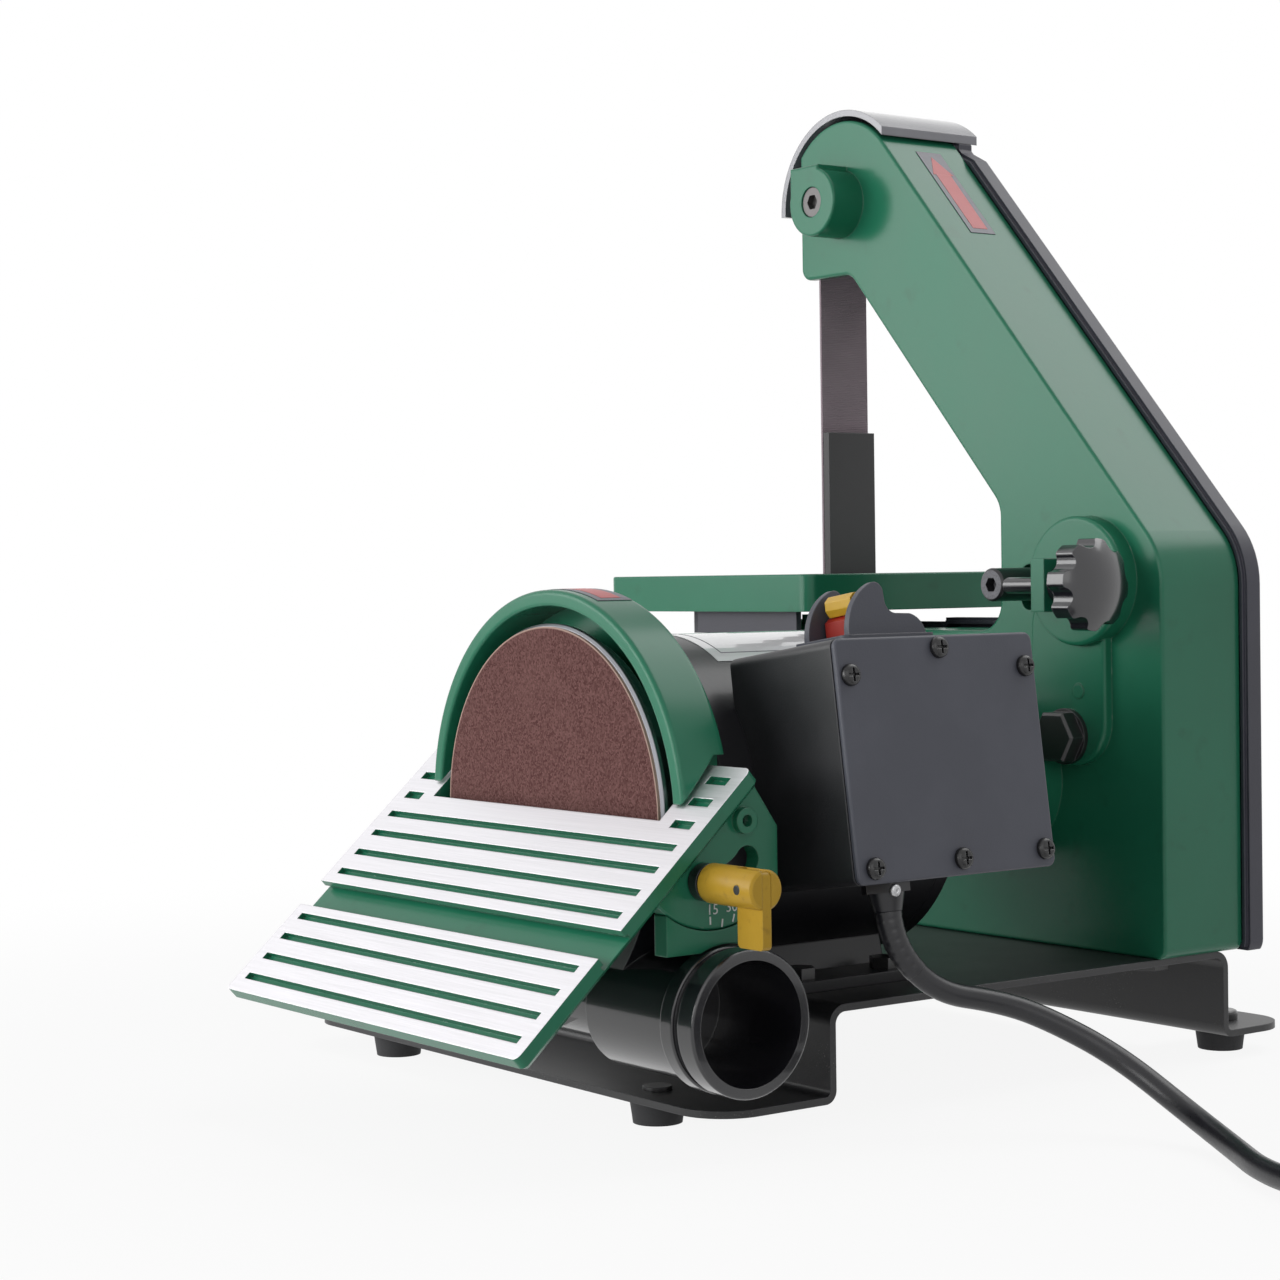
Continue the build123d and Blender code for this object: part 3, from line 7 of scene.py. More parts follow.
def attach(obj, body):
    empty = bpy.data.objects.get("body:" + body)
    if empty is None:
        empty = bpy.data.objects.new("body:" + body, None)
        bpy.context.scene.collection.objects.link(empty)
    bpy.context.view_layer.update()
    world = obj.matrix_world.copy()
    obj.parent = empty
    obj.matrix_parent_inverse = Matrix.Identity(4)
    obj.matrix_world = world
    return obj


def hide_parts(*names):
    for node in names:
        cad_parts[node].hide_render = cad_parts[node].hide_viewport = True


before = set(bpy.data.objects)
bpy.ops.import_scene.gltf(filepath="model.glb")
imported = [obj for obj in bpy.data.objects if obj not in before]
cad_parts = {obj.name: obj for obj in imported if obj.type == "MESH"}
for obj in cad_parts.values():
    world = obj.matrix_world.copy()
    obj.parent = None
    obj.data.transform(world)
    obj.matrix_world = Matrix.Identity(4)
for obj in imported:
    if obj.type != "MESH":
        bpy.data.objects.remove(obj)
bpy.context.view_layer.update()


# Base. One steel sheet folded to a hat section and sprayed satin black; the flange under the
# disc and the two ears under the belt carry the feet. Dust lies on it, and its edges are paler,
# partly worn and partly a painted highlight.
class Wire:
    """A shader socket. Arithmetic on values adds Math nodes, and node() adds any other node."""

    def __init__(self, socket):
        self.socket = socket

    def node(self, kind, settings, inputs, output=0):
        tree = self.socket.id_data
        made = tree.nodes.new("ShaderNode" + kind)
        for key, value in settings.items():
            setattr(made, key, value)
        shown = [s for s in made.inputs if s.enabled]
        for key, value in inputs.items():
            slot = shown[key] if isinstance(key, int) else next(s for s in shown if s.name == key)
            if isinstance(value, Wire):
                tree.links.new(value.socket, slot)
            else:
                slot.default_value = value
        outs = [s for s in made.outputs if s.enabled and output in (0, s.name)]
        return Wire(outs[0]) if outs else None

    def math(self, operation, first, second=0.0):
        return self.node("Math", {"operation": operation}, {0: first, 1: second})

    def __add__(self, other):
        return self.math("ADD", self, other)

    __radd__ = __add__

    def __sub__(self, other):
        return self.math("SUBTRACT", self, other)

    def __rsub__(self, other):
        return self.math("SUBTRACT", other, self)

    def __mul__(self, other):
        return self.math("MULTIPLY", self, other)

    __rmul__ = __mul__


def paint(r, g, b):
    """Linear colour from the usual 0 to 255 values."""
    shares = [c / 255 for c in (r, g, b)]
    return tuple(c / 12.92 if c <= 0.04045 else ((c + 0.055) / 1.055) ** 2.4 for c in shares) + (1.0,)


def coat(name):
    """New material and the wire of its surface position, in metres at rest."""
    material = bpy.data.materials.new(name)
    material.use_nodes = True
    material.node_tree.nodes.clear()
    place = material.node_tree.nodes.new("ShaderNodeTexCoord").outputs["Object"]
    return material, Wire(place)


def grain(place, scale, detail=2.0):
    """Noise from 0 to 1 with about scale lumps in a metre; three scales draw it out along the axes."""
    if isinstance(scale, tuple):
        place = place.node("VectorMath", {"operation": "MULTIPLY"}, {0: place, 1: scale})
        scale = 1.0
    return place.node("TexNoise", {}, {"Vector": place, "Scale": scale, "Detail": detail}, "Fac")


def ease(value, low, high):
    """0 below low, 1 above high, smooth in between."""
    limits = {"Value": value, "From Min": low, "From Max": high}
    return value.node("MapRange", {"interpolation_type": "SMOOTHSTEP"}, limits)


def tint(share, first, second):
    """First colour at share 0, second at share 1."""
    return share.node("Mix", {"data_type": "RGBA"}, {"Factor": share, "A": first, "B": second}, "Result")


def wear_and_highlight_edges(place, radius):
    """1 along edges and corners that turn within the radius, 0 on flat or gently curved stretches."""
    soft = place.node("Bevel", {"samples": 4}, {"Radius": radius})
    true = place.node("NewGeometry", {}, {}, "True Normal")
    level = place.node("VectorMath", {"operation": "DOT_PRODUCT"}, {0: soft, 1: true}, "Value")
    return ease(level, 0.995, 0.9)


def relief(height, depth, strength=1.0, radius=0.0):
    """Bumped normal from a height of 0 to 1 that stands for the depth in metres; radius rounds edges."""
    inputs = {"Height": height, "Distance": depth, "Strength": strength}
    if radius:
        inputs["Normal"] = height.node("Bevel", {"samples": 4}, {"Radius": radius})
    return height.node("Bump", {}, inputs)


def shade(material, place, **sockets):
    """Principled surface whose sockets are given by their names with _ for a space."""
    names = {key.replace("_", " "): value for key, value in sockets.items()}
    surface = place.node("BsdfPrincipled", {}, names)
    place.node("OutputMaterial", {}, {"Surface": surface})
    return material


def dress(material, *nodes):
    """Gives carried-over nodes their finish."""
    for name in nodes:
        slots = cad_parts[name].data.materials
        slots.clear()
        slots.append(material)


def satin_black(name, colour, rough, lump, dust=0.0, gloss=0.0):
    """Sprayed or moulded black or grey with a fine grain, edges paler from wear and a painted highlight,
    and specks of dust if asked for.
    """
    material, place = coat(name)
    cloud = grain(place, 35.0, 3.0)
    fine = grain(place, lump, 2.0)
    edge_wear_and_highlight = wear_and_highlight_edges(place, 0.0006)
    base = tint(ease(cloud, 0.35, 0.7), paint(*colour), paint(*[c + 7 for c in colour]))
    # Edges turn paler grey: partly wear, partly a painted highlight.
    base = tint(edge_wear_and_highlight * 0.3, base, paint(104, 104, 110))
    if dust:
        speck = ease(grain(place, 1900.0, 1.0), 0.66, 0.74) * ease(grain(place, 60.0, 2.0), 0.45, 0.7)
        base = tint(speck * dust, base, paint(150, 148, 144))
    return shade(material, place, Base_Color=base, Roughness=rough + 0.12 * cloud - 0.06 * edge_wear_and_highlight,
                 Coat_Weight=gloss, Coat_Roughness=0.12, Normal=relief(fine, 0.00006, 0.6, 0.0006))


sheet_black = satin_black("sheet_black", (29, 29, 31), 0.34, 1500.0, dust=0.5)
dress(sheet_black, "base_plate")


# Feet and bolts. Four tapered rubber feet, each held by a low pan-head bolt from above; the
# bolts of the motor cradle and of the belt housing are blackened steel.
rubber, place = coat("foot_rubber")
crumb = grain(place, 900.0, 3.0)
shade(rubber, place, Base_Color=tint(crumb, paint(36, 36, 38), paint(56, 56, 58)),
      Roughness=0.62 + 0.2 * crumb, Normal=relief(crumb, 0.0001, 0.5, 0.0006))
dress(rubber, "rubber_feet")
black_oxide = satin_black("black_oxide", (30, 30, 31), 0.26, 2200.0, gloss=0.3)
dress(black_oxide, "foot_bolts", "base_bolts")

# Motor. A rolled casing between two end bells on a cradle, all in black enamel that lies in a
# slight orange peel. Laminations, shaft and ball bearings sit inside.
motor_black, place = coat("motor_enamel")
peel = grain(place, 420.0)
cloud = grain(place, 18.0, 3.0)
shade(motor_black, place, Base_Color=tint(cloud, paint(20, 20, 23), paint(31, 31, 35)),
      Roughness=0.28 + 0.14 * cloud, Specular_IOR_Level=0.35, Coat_Weight=0.1, Coat_Roughness=0.12,
      Normal=relief(peel, 0.00012, 0.3, 0.0008))
dress(motor_black, "motor_casing", "disc_end_bell", "belt_end_bell", "motor_foot")


def bare_metal(name, colour, rough, marks):
    """Metal with fine drawn or turned marks and a dull bloom."""
    material, place = coat(name)
    cloud = grain(place, 120.0, 4.0)
    lines = grain(place, marks)
    base = tint(cloud, paint(*[c - 22 for c in colour]), paint(*colour))
    dull = rough + 0.2 * cloud + 0.06 * lines
    return shade(material, place, Base_Color=base, Metallic=0.95, Roughness=dull,
                 Normal=relief(lines, 0.00004, 0.35, 0.0004))


bright_steel = bare_metal("ground_steel", (205, 205, 208), 0.18, (900.0, 60.0, 2400.0))
dark_steel = bare_metal("dark_steel", (112, 110, 110), 0.34, (900.0, 60.0, 2400.0))
zinc = bare_metal("zinc_plate", (190, 190, 192), 0.24, (900.0, 900.0, 2400.0))
dress(bright_steel, "motor_shaft", "motor_bearings", "wheel_bearings")
dress(dark_steel, "stator", "rotor")


# Rating plate of the motor. A blank white foil stuck round the top of the casing, with a thin
# printed frame.
disc_centre = Vector((-112.34, -41.0, 104.0))


def spot(x, y, z):
    """Point of the frame, in metres, from millimetres off the centre of the disc."""
    return (Vector((x, y, z)) + disc_centre) / 1000


def add_piece(name, shape, finishes, body):
    """Object from a bmesh that rides on its body."""
    bmesh.ops.recalc_face_normals(shape, faces=shape.faces[:])
    mesh = bpy.data.meshes.new(name)
    shape.to_mesh(mesh)
    shape.free()
    for finish in finishes:
        mesh.materials.append(finish)
    piece = bpy.data.objects.new(name, mesh)
    bpy.context.scene.collection.objects.link(piece)
    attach(piece, body)
    return piece


foil_step = 3.0


def foil(name, outlines, lay, low, thick, finish, body):
    """Thin plate of flat outlines in mm, cut across in steps and laid on a surface by lay(u, v, height)."""
    shape = bmesh.new()
    for outline in outlines:
        shape.faces.new([shape.verts.new((u, v, low)) for u, v in outline])
    bottom = min(v for outline in outlines for u, v in outline)
    top = max(v for outline in outlines for u, v in outline)
    for k in range(1, int((top - bottom) / foil_step) + 1):
        whole = shape.verts[:] + shape.edges[:] + shape.faces[:]
        cut_at = (0, bottom + foil_step * k, 0)
        bmesh.ops.bisect_plane(shape, geom=whole, plane_co=cut_at, plane_no=(0, 1, 0))
    raised = bmesh.ops.extrude_face_region(shape, geom=shape.faces[:])
    for part in raised["geom"]:
        if isinstance(part, bmesh.types.BMVert):
            part.co.z = low + thick
    for vert in shape.verts:
        vert.co = lay(*vert.co)
    return add_piece(name, shape, [finish], body)


def panel(wide, long):
    """Corners of a rectangle about the middle."""
    return [(-wide / 2, -long / 2), (wide / 2, -long / 2), (wide / 2, long / 2), (-wide / 2, long / 2)]


def border(wide, long, line):
    """Four strips that frame a rectangle."""
    x, y = wide / 2, long / 2
    strips = []
    for s in (-1, 1):
        low, high = s * y - line / 2, s * y + line / 2
        strips.append([(-x, low), (x, low), (x, high), (-x, high)])
    for s in (-1, 1):
        left, right = s * x - line / 2, s * x + line / 2
        strips.append([(left, -y), (right, -y), (right, y), (left, y)])
    return strips


def wrap(x, radius, middle):
    """Lays a foil on a drum about the shaft's axis, its middle at the angle from the front over the top."""
    def lay(u, v, height):
        angle = radians(middle) + v / radius
        return spot(x + u, -(radius + height) * cos(angle), (radius + height) * sin(angle))
    return lay


def printed(name, first, second, rough, gloss=0.0):
    """Printed or painted foil with faint mottling and scuffs, and clear film over it where it has gloss."""
    material, place = coat(name)
    cloud = grain(place, 180.0, 4.0)
    scuff = ease(grain(place, (300.0, 1600.0, 900.0), 3.0), 0.6, 0.8)
    return shade(material, place, Base_Color=tint(cloud, paint(*first), paint(*second)),
                 Roughness=rough + 0.15 * scuff, Coat_Weight=gloss, Coat_Roughness=0.03,
                 Normal=relief(cloud, 0.00003, 0.2, 0.0003))


foil_white = printed("foil_white", (236, 236, 239), (246, 246, 248), 0.2, gloss=1.0)
ink_grey = printed("ink_grey", (88, 88, 96), (104, 104, 112), 0.4)
casing = wrap(84.6, 58.5, 85.0)
foil("rating_plate", [panel(70.0, 55.0)], casing, 0.02, 0.18, foil_white, "machine")
foil("rating_frame", border(60.0, 44.0, 0.5), casing, 0.16, 0.1, ink_grey, "machine")

# Disc. A turned aluminium plate on the shaft with a self-adhesive abrasive paper on its face;
# the cut edge of the paper shows pale.
turned, place = coat("turned_aluminium")
cloud = grain(place, 60.0, 3.0)
ring = grain(place, (3500.0, 30.0, 30.0))
shade(turned, place, Base_Color=tint(cloud, paint(142, 143, 149), paint(164, 165, 170)), Metallic=1.0,
      Roughness=0.3 + 0.14 * ring, Normal=relief(ring, 0.00003, 0.4, 0.0005))
dress(turned, "disc_plate", "upper_wheel", "drive_wheel")

grit, place = coat("grit_paper")
bead = place.node("TexVoronoi", {}, {"Vector": place, "Scale": 1500.0}, "Distance")
tone = place.node("TexVoronoi", {}, {"Vector": place, "Scale": 1500.0}, "Color")
pick = tone.node("SeparateColor", {}, {"Color": tone}, "Red")
patch = grain(place, 45.0, 4.0)
base = tint(pick, paint(74, 44, 42), paint(113, 79, 76))
base = tint(ease(patch, 0.45, 0.75) * 0.3, base, paint(112, 80, 76))
away = place.node("VectorMath", {"operation": "SUBTRACT"}, {0: place, 1: tuple(spot(0.5, 0.0, 0.0))})
away = place.node("VectorMath", {"operation": "LENGTH"}, {0: away}, "Value")
cut_from, cut_to = 0.0617, 0.0623
base = tint(ease(away, cut_from, cut_to), base, paint(176, 150, 138))
shade(grit, place, Base_Color=base, Roughness=0.85 - 0.12 * pick, Specular_IOR_Level=0.15,
      Normal=relief(1 - bead, 0.0003, 0.5))
dress(grit, "abrasive_disc")


# Guard. A cast half ring over the disc with a back wall and side ears, in green enamel that has
# pulled thin along its edges, which also carry a painted highlight; an arrow on its top shows the
# way the disc turns.
def enamel_layer(place):
    """Colour, roughness and bump height of the green enamel."""
    cloud = grain(place, 22.0, 3.0)
    edge_wear_and_highlight = wear_and_highlight_edges(place, 0.0007)
    chip = ease(grain(place, 260.0, 4.0), 0.58, 0.7)
    base = tint(cloud, paint(33, 109, 81), paint(40, 121, 92))
    # Paler green along the edges: thin, chipped enamel and a painted highlight.
    base = tint(edge_wear_and_highlight * (0.12 + 0.6 * chip), base, paint(136, 168, 152))
    stain = ease(grain(place, 70.0, 5.0), 0.6, 0.76)
    base = tint(stain * 0.25, base, paint(34, 84, 62))
    return base, 0.18 + 0.1 * cloud, grain(place, 380.0) + 0.8 * grain(place, 90.0)


enamel, place = coat("green_enamel")
base, rough, height = enamel_layer(place)
shade(enamel, place, Base_Color=base, Roughness=rough, Specular_IOR_Level=0.3,
      Normal=relief(height, 0.00006, 0.3, 0.0008))
dress(enamel, "disc_guard", "trunnions", "trunnion_brackets", "belt_housing", "belt_table")
dress(zinc, "guard_screws")
label_grey = printed("label_grey", (70, 70, 82), (82, 82, 94), 0.35)
arrow_red = printed("arrow_red", (176, 44, 46), (192, 56, 58), 0.35)


def arrow(long, wide):
    """Shaft and head of an arrow that points up."""
    neck = long / 2 - wide
    shaft = [(-wide * 0.36, -long / 2), (wide * 0.36, -long / 2), (wide * 0.36, neck), (-wide * 0.36, neck)]
    return [shaft, [(-wide / 2, neck), (wide / 2, neck), (0.0, long / 2)]]


hoop = wrap(11.9, 75.0, 89.0)
foil("disc_arrow_plate", [panel(14.0, 46.0)], hoop, 0.02, 0.18, label_grey, "machine")
foil("disc_arrow", arrow(41.0, 11.2), hoop, 0.16, 0.1, arrow_red, "machine")

# Dust hood. A glossy black moulding bolted under the disc to catch the dust; its port has a
# ringed mouth for a hose.
gloss, place = coat("gloss_moulding")
cloud = grain(place, 30.0, 3.0)
shade(gloss, place, Base_Color=tint(cloud, paint(24, 24, 28), paint(34, 34, 39)),
      Roughness=0.16 + 0.08 * cloud, Coat_Weight=0.6, Coat_Roughness=0.05,
      Normal=relief(cloud + 0.3 * grain(place, 500.0), 0.0003, 0.2, 0.0007))
dress(gloss, "dust_hood")
dress(black_oxide, "hood_bolts")


# Disc table. An aluminium casting with green enamel on its sides and in its slots, and a milled
# top whose cutter marks run the way of the slots.
def facing(place, direction):
    """How far a face looks in the direction at rest, 1 for straight at it; it moves with the piece."""
    face = place.node("NewGeometry", {}, {}, "True Normal")
    own = {"vector_type": "NORMAL", "convert_from": "WORLD", "convert_to": "OBJECT"}
    face = place.node("VectorTransform", own, {"Vector": face})
    return place.node("VectorMath", {"operation": "DOT_PRODUCT"}, {0: face, 1: tuple(direction)}, "Value")


tilt = radians(42.0)
across_top = Vector((-sin(tilt), 0.0, cos(tilt)))
table_top = spot(-3.6, 0.0, 1.4)
table_metal, place = coat("milled_table")
depth = place.node("VectorMath", {"operation": "SUBTRACT"}, {0: place, 1: tuple(table_top)})
depth = place.node("VectorMath", {"operation": "DOT_PRODUCT"}, {0: depth, 1: tuple(across_top)}, "Value")
milled = ease(depth, -0.0004, -0.0002) * ease(facing(place, across_top), 0.9, 0.95)
cut = grain(place, (2600.0, 25.0, 2600.0), 3.0)
base, rough, height = enamel_layer(place)
base = tint(milled, base, tint(cut, paint(222, 221, 224), paint(240, 238, 242)))
rough = rough * (1 - milled) + (0.34 + 0.16 * cut) * milled
shade(table_metal, place, Base_Color=base, Metallic=milled, Roughness=rough, Specular_IOR_Level=0.3,
      Normal=relief(height * (1 - milled) + 0.4 * cut * milled, 0.00008, 0.35, 0.0006))
dress(table_metal, "disc_table")
dress(zinc, "trunnion_screws")

# Tilt scale. White painted figures and strokes on the face of the right trunnion, read against
# the bracket behind it.
scale_white = printed("scale_white", (216, 222, 218), (234, 238, 235), 0.45)
scale_face = -87.5
for figure, x, z in (("15", 2.0, -25.7), ("30", 9.6, -25.4)):
    letters = bpy.data.curves.new("scale_" + figure, "FONT")
    letters.body = figure
    letters.size = 0.0047
    letters.extrude = 0.00008
    letters.align_x = letters.align_y = "CENTER"
    letters.materials.append(scale_white)
    digits = bpy.data.objects.new("scale_" + figure, letters)
    bpy.context.scene.collection.objects.link(digits)
    upright = Matrix(((1, 0, 0), (0, 0, -1), (0, 1, 0))).to_4x4()
    digits.matrix_world = Matrix.Translation(spot(x, scale_face - 0.1, z)) @ upright
    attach(digits, "disc_table")


def leaning(x, z, lean):
    """Lays a stroke on the face of the trunnion about a point, leaning by an angle in degrees."""
    turn = radians(lean)

    def lay(u, v, height):
        along, up = u * cos(turn) - v * sin(turn), u * sin(turn) + v * cos(turn)
        return spot(x + along, scale_face - height, z + up)
    return lay


for number, stroke in enumerate(((1.1, -29.0, 2.0), (5.8, -30.1, -7.0), (10.3, -28.9, -16.0))):
    foil(f"scale_stroke_{number}", [panel(0.6, 2.6)], leaning(*stroke), 0.01, 0.12, scale_white,
         "disc_table")

# Lock of the disc table. A yellow enamelled hub with a flat blade, pinned on a blackened stud
# that clamps the right trunnion to its bracket.
yellow, place = coat("yellow_enamel")
cloud = grain(place, 120.0, 3.0)
edge_wear_and_highlight = wear_and_highlight_edges(place, 0.0006)
grime = ease(grain(place, 300.0, 5.0), 0.55, 0.75)
base = tint(cloud, paint(176, 138, 40), paint(194, 156, 54))
base = tint(grime * 0.4, base, paint(126, 98, 40))
# The edges are painted a paler yellow: partly wear, partly a painted highlight.
shade(yellow, place, Base_Color=tint(edge_wear_and_highlight * 0.4, base, paint(214, 182, 84)), Roughness=0.3 + 0.1 * cloud,
      Specular_IOR_Level=0.2, Normal=relief(grain(place, 900.0), 0.0001, 0.3, 0.0007))
dress(yellow, "lever_hub", "lever_blade")
dress(black_oxide, "lock_studs", "lever_pin")

# Belt housing. A casting in the same green enamel, which carries the upper wheel, the idler and
# the tension arm; a second arrow on its slope shows the way the belt runs.
slope_middle = spot(235.2, 47.6, 231.9)
slope_up = Vector((0.0, 0.6601, 0.7511))
slope_out = Vector((0.0, -0.7511, 0.6601))


def on_slope(u, v, height):
    """Lays a foil on the slope of the housing."""
    return slope_middle + (Vector((u, 0.0, 0.0)) + slope_up * v + slope_out * height) / 1000


foil("belt_arrow_plate", [panel(13.4, 48.4)], on_slope, 0.02, 0.18, label_grey, "machine")
foil("belt_arrow", arrow(43.0, 11.0), on_slope, 0.16, 0.1, arrow_red, "machine")

# Belt wheels. Aluminium drive and upper wheels, a black moulded idler and tension roller, axles
# of dark and of blackened steel, and the tension pin, swung by hand against a spring.
wheel_black = satin_black("wheel_plastic", (36, 36, 38), 0.45, 1200.0)
dress(wheel_black, "front_idler", "tension_roller")
dress(dark_steel, "tension_arm", "upper_axle", "tension_spring")
dress(black_oxide, "front_axle", "pivot_bolt")
pin_black, place = coat("pin_black")
sawn = ease(facing(place, (-1.0, 0.0, 0.0)), 0.9, 0.97)
pits = grain(place, 1500.0, 4.0)
base = tint(sawn, paint(30, 30, 33), tint(pits, paint(70, 70, 74), paint(132, 132, 138)))
shade(pin_black, place, Base_Color=base, Roughness=0.3 + 0.3 * sawn,
      Normal=relief(pits * (0.15 + sawn), 0.0002, 0.5, 0.0006))
dress(pin_black, "tension_pin")

# Sanding belt and platen. The belt has the brown-grey look of its cloth back on both sides, and
# passes over a flat black steel platen.
belt_cloth, place = coat("belt_cloth")
wave = {"Vector": place, "Scale": 420.0, "Distortion": 1.5, "Detail": 2.0}
weave = place.node("TexWave", {"bands_direction": "Z"}, wave, "Fac")
cloud = grain(place, 60.0, 4.0)
base = tint(cloud, paint(146, 130, 139), paint(168, 151, 160))
base = tint(weave * 0.25, base, paint(112, 98, 106))
shade(belt_cloth, place, Base_Color=base, Roughness=0.78 + 0.1 * cloud, Normal=relief(weave, 0.00015, 0.5))
dress(belt_cloth, "sanding_belt")
platen_black = satin_black("platen_black", (38, 37, 39), 0.4, 1500.0)
dress(platen_black, "platen")
dress(black_oxide, "platen_screws")

# Cover. A black pressed pan screwed to the belt side, and a bent strip over the upper wheel
# whose enamel shines.
cover_black = satin_black("cover_black", (46, 46, 57), 0.42, 1800.0)
strip_grey = satin_black("strip_grey", (112, 112, 120), 0.14, 1600.0, gloss=1.0)
dress(cover_black, "belt_cover")
dress(strip_grey, "wheel_guard")
dress(black_oxide, "cover_screws")

# Star knob. A domed and fluted black moulding on the end of the screw that sets the tracking
# of the belt.
knob_black = satin_black("knob_black", (26, 26, 32), 0.16, 700.0, gloss=0.8)
dress(knob_black, "star_knob")

# Belt table. A green casting screwed to a black bracket, whose tilt is locked by a blackened
# lever under the table.
dress(cover_black, "belt_trunnion")
dress(zinc, "rest_screws")
dress(black_oxide, "belt_lever")

# Switch box. A satin black pressing with a flat cover held by domed screws; on its roof two
# guard ears stand beside a red paddle with a yellow key.
box_black = satin_black("box_black", (66, 68, 78), 0.42, 1600.0)
box_dark = satin_black("box_dark", (34, 34, 37), 0.36, 1600.0)
dress(box_dark, "switch_box")
dress(box_black, "switch_cover", "switch_guard")
screw_black = satin_black("screw_black", (20, 20, 22), 0.2, 2200.0)
dress(screw_black, "box_screws")


def moulded(name, first, second):
    """Coloured plastic with a faint moulding grain."""
    material, place = coat(name)
    cloud = grain(place, 200.0, 3.0)
    base = tint(cloud, paint(*first), paint(*second))
    return shade(material, place, Base_Color=base, Roughness=0.3 + 0.12 * cloud,
                 Normal=relief(grain(place, 1200.0), 0.00006, 0.3, 0.0005))


dress(moulded("red_plastic", (146, 34, 24), (164, 42, 32)), "switch_paddle")
dress(moulded("key_plastic", (198, 156, 40), (212, 170, 54)), "switch_key")

# Cord gland. A moulded black clamp under the switch box that grips the lead, closed by a zinc
# screw from the front.
cord_black, place = coat("cord_jacket")
cloud = grain(place, 160.0, 3.0)
shine = ease(grain(place, 1400.0), 0.6, 0.75)
shade(cord_black, place, Base_Color=tint(cloud, paint(20, 20, 24), paint(31, 31, 36)),
      Roughness=0.3 + 0.12 * cloud - 0.1 * shine, Normal=relief(grain(place, 900.0), 0.00008, 0.3))
dress(cord_black, "cord_gland")


def circle(shape, centre, side, third, radius, count=24):
    """Ring of points about a centre in metres, in the plane of two crosswise directions."""
    angles = [2 * pi * k / count for k in range(count)]
    return [shape.verts.new(centre + (side * cos(a) + third * sin(a)) * radius) for a in angles]


def skin(shape, rings, closed=False, smooth=True, material=0):
    """Walls from ring to ring, with caps at both ends unless the last ring joins the first."""
    faces = [] if closed else [shape.faces.new(rings[0][::-1]), shape.faces.new(rings[-1])]
    after_each = rings[1:] + rings[:1] if closed else rings[1:]
    for ring, after in zip(rings, after_each):
        for k in range(len(ring)):
            beside = (k + 1) % len(ring)
            wall = shape.faces.new((ring[k], ring[beside], after[beside], after[k]))
            wall.smooth = smooth
            faces.append(wall)
    for face in faces:
        face.material_index = material


def turned_stack(shape, start, axis, side, profile, material=0):
    """Adds a turned form of (distance along the axis, radius) pairs in mm from its start."""
    third = axis.cross(side)
    rings = [circle(shape, start + axis * (reach / 1000), side, third, radius / 1000)
             for reach, radius in profile]
    skin(shape, rings, material=material)


screw = bmesh.new()
head = [(0.0, 2.1), (0.6, 2.1), (1.1, 1.9), (1.4, 1.5), (1.5, 1.0), (1.5, 0.55), (1.0, 0.5)]
turned_stack(screw, spot(59.6, -108.2, -22.4), Vector((0, -1, 0)), Vector((1, 0, 0)), head)
add_piece("gland_screw", screw, [zinc], "machine")

# Mains lead. Round black cord that drops from the gland, passes clear of the base and lies on
# the bench; its spare length is wound into a coil of two layers.
route = [
    (-50.34, -143.335, 74.104), (-50.34, -144.85, 63.34), (-38.0, -151.4, 47.7), (-17.0, -157.8, 43.3),
    (-3.7, -165.3, 38.0), (15.0, -180.2, 25.1), (20.0, -208.0, 9.0), (9.66, -235.0, 3.9),
    (-8.34, -262.0, 3.9), (-18.34, -291.0, 5.4), (-29.34, -320.0, 5.4),
]
cord_dia, coil_span, coil_pitch = 7.6, 104.0, 8.2
last = Vector(route[-1])
ahead, leftward = Vector((-0.35466, -0.935, 0.0)), Vector((0.935, -0.35466, 0.0))
depths = [0, 1, 2, 3, 2, 1, 0]
stops = [edge for k in depths for edge in (coil_pitch * k, coil_span - coil_pitch * k)][:-1]
layers = [0.0] * 7 + [coil_pitch] * 6
swell = 1.035
points = [Vector(p) for p in route]
for turn in range(len(stops) - 1):
    middle, half = (stops[turn] + stops[turn + 1]) / 2, (stops[turn] - stops[turn + 1]) / 2
    sense = 1 if turn % 2 == 0 else -1
    for degree in range(15, 180, 30):
        share = degree / 180
        climb = layers[turn] + (layers[turn + 1] - layers[turn]) * share
        sideways = middle + half * swell * cos(radians(degree))
        outward = sense * abs(half) * swell * sin(radians(degree))
        points.append(last + leftward * sideways + ahead * outward + Vector((0, 0, climb)))
tail = last + Vector((0, 0, coil_pitch))
plug_at = tail + ahead * 46
points += [tail + ahead * 14, plug_at]
line = bpy.data.curves.new("mains_lead", "CURVE")
line.dimensions = "3D"
spline = line.splines.new("NURBS")
spline.points.add(len(points) - 1)
for knot, point in zip(spline.points, points):
    knot.co = (*(point / 1000), 1.0)
spline.order_u = 3
spline.use_endpoint_u = True
spline.resolution_u = 10
lead = bpy.data.objects.new("mains_lead", line)
bpy.context.scene.collection.objects.link(lead)
traced = bpy.data.meshes.new_from_object(lead)
trace = [v.co.copy() for v in traced.vertices]
line.bevel_depth = cord_dia / 2000
line.bevel_resolution = 6
line.use_fill_caps = True
line.materials.append(cord_black)
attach(lead, "machine")
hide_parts("power_cord", "cord_coil")

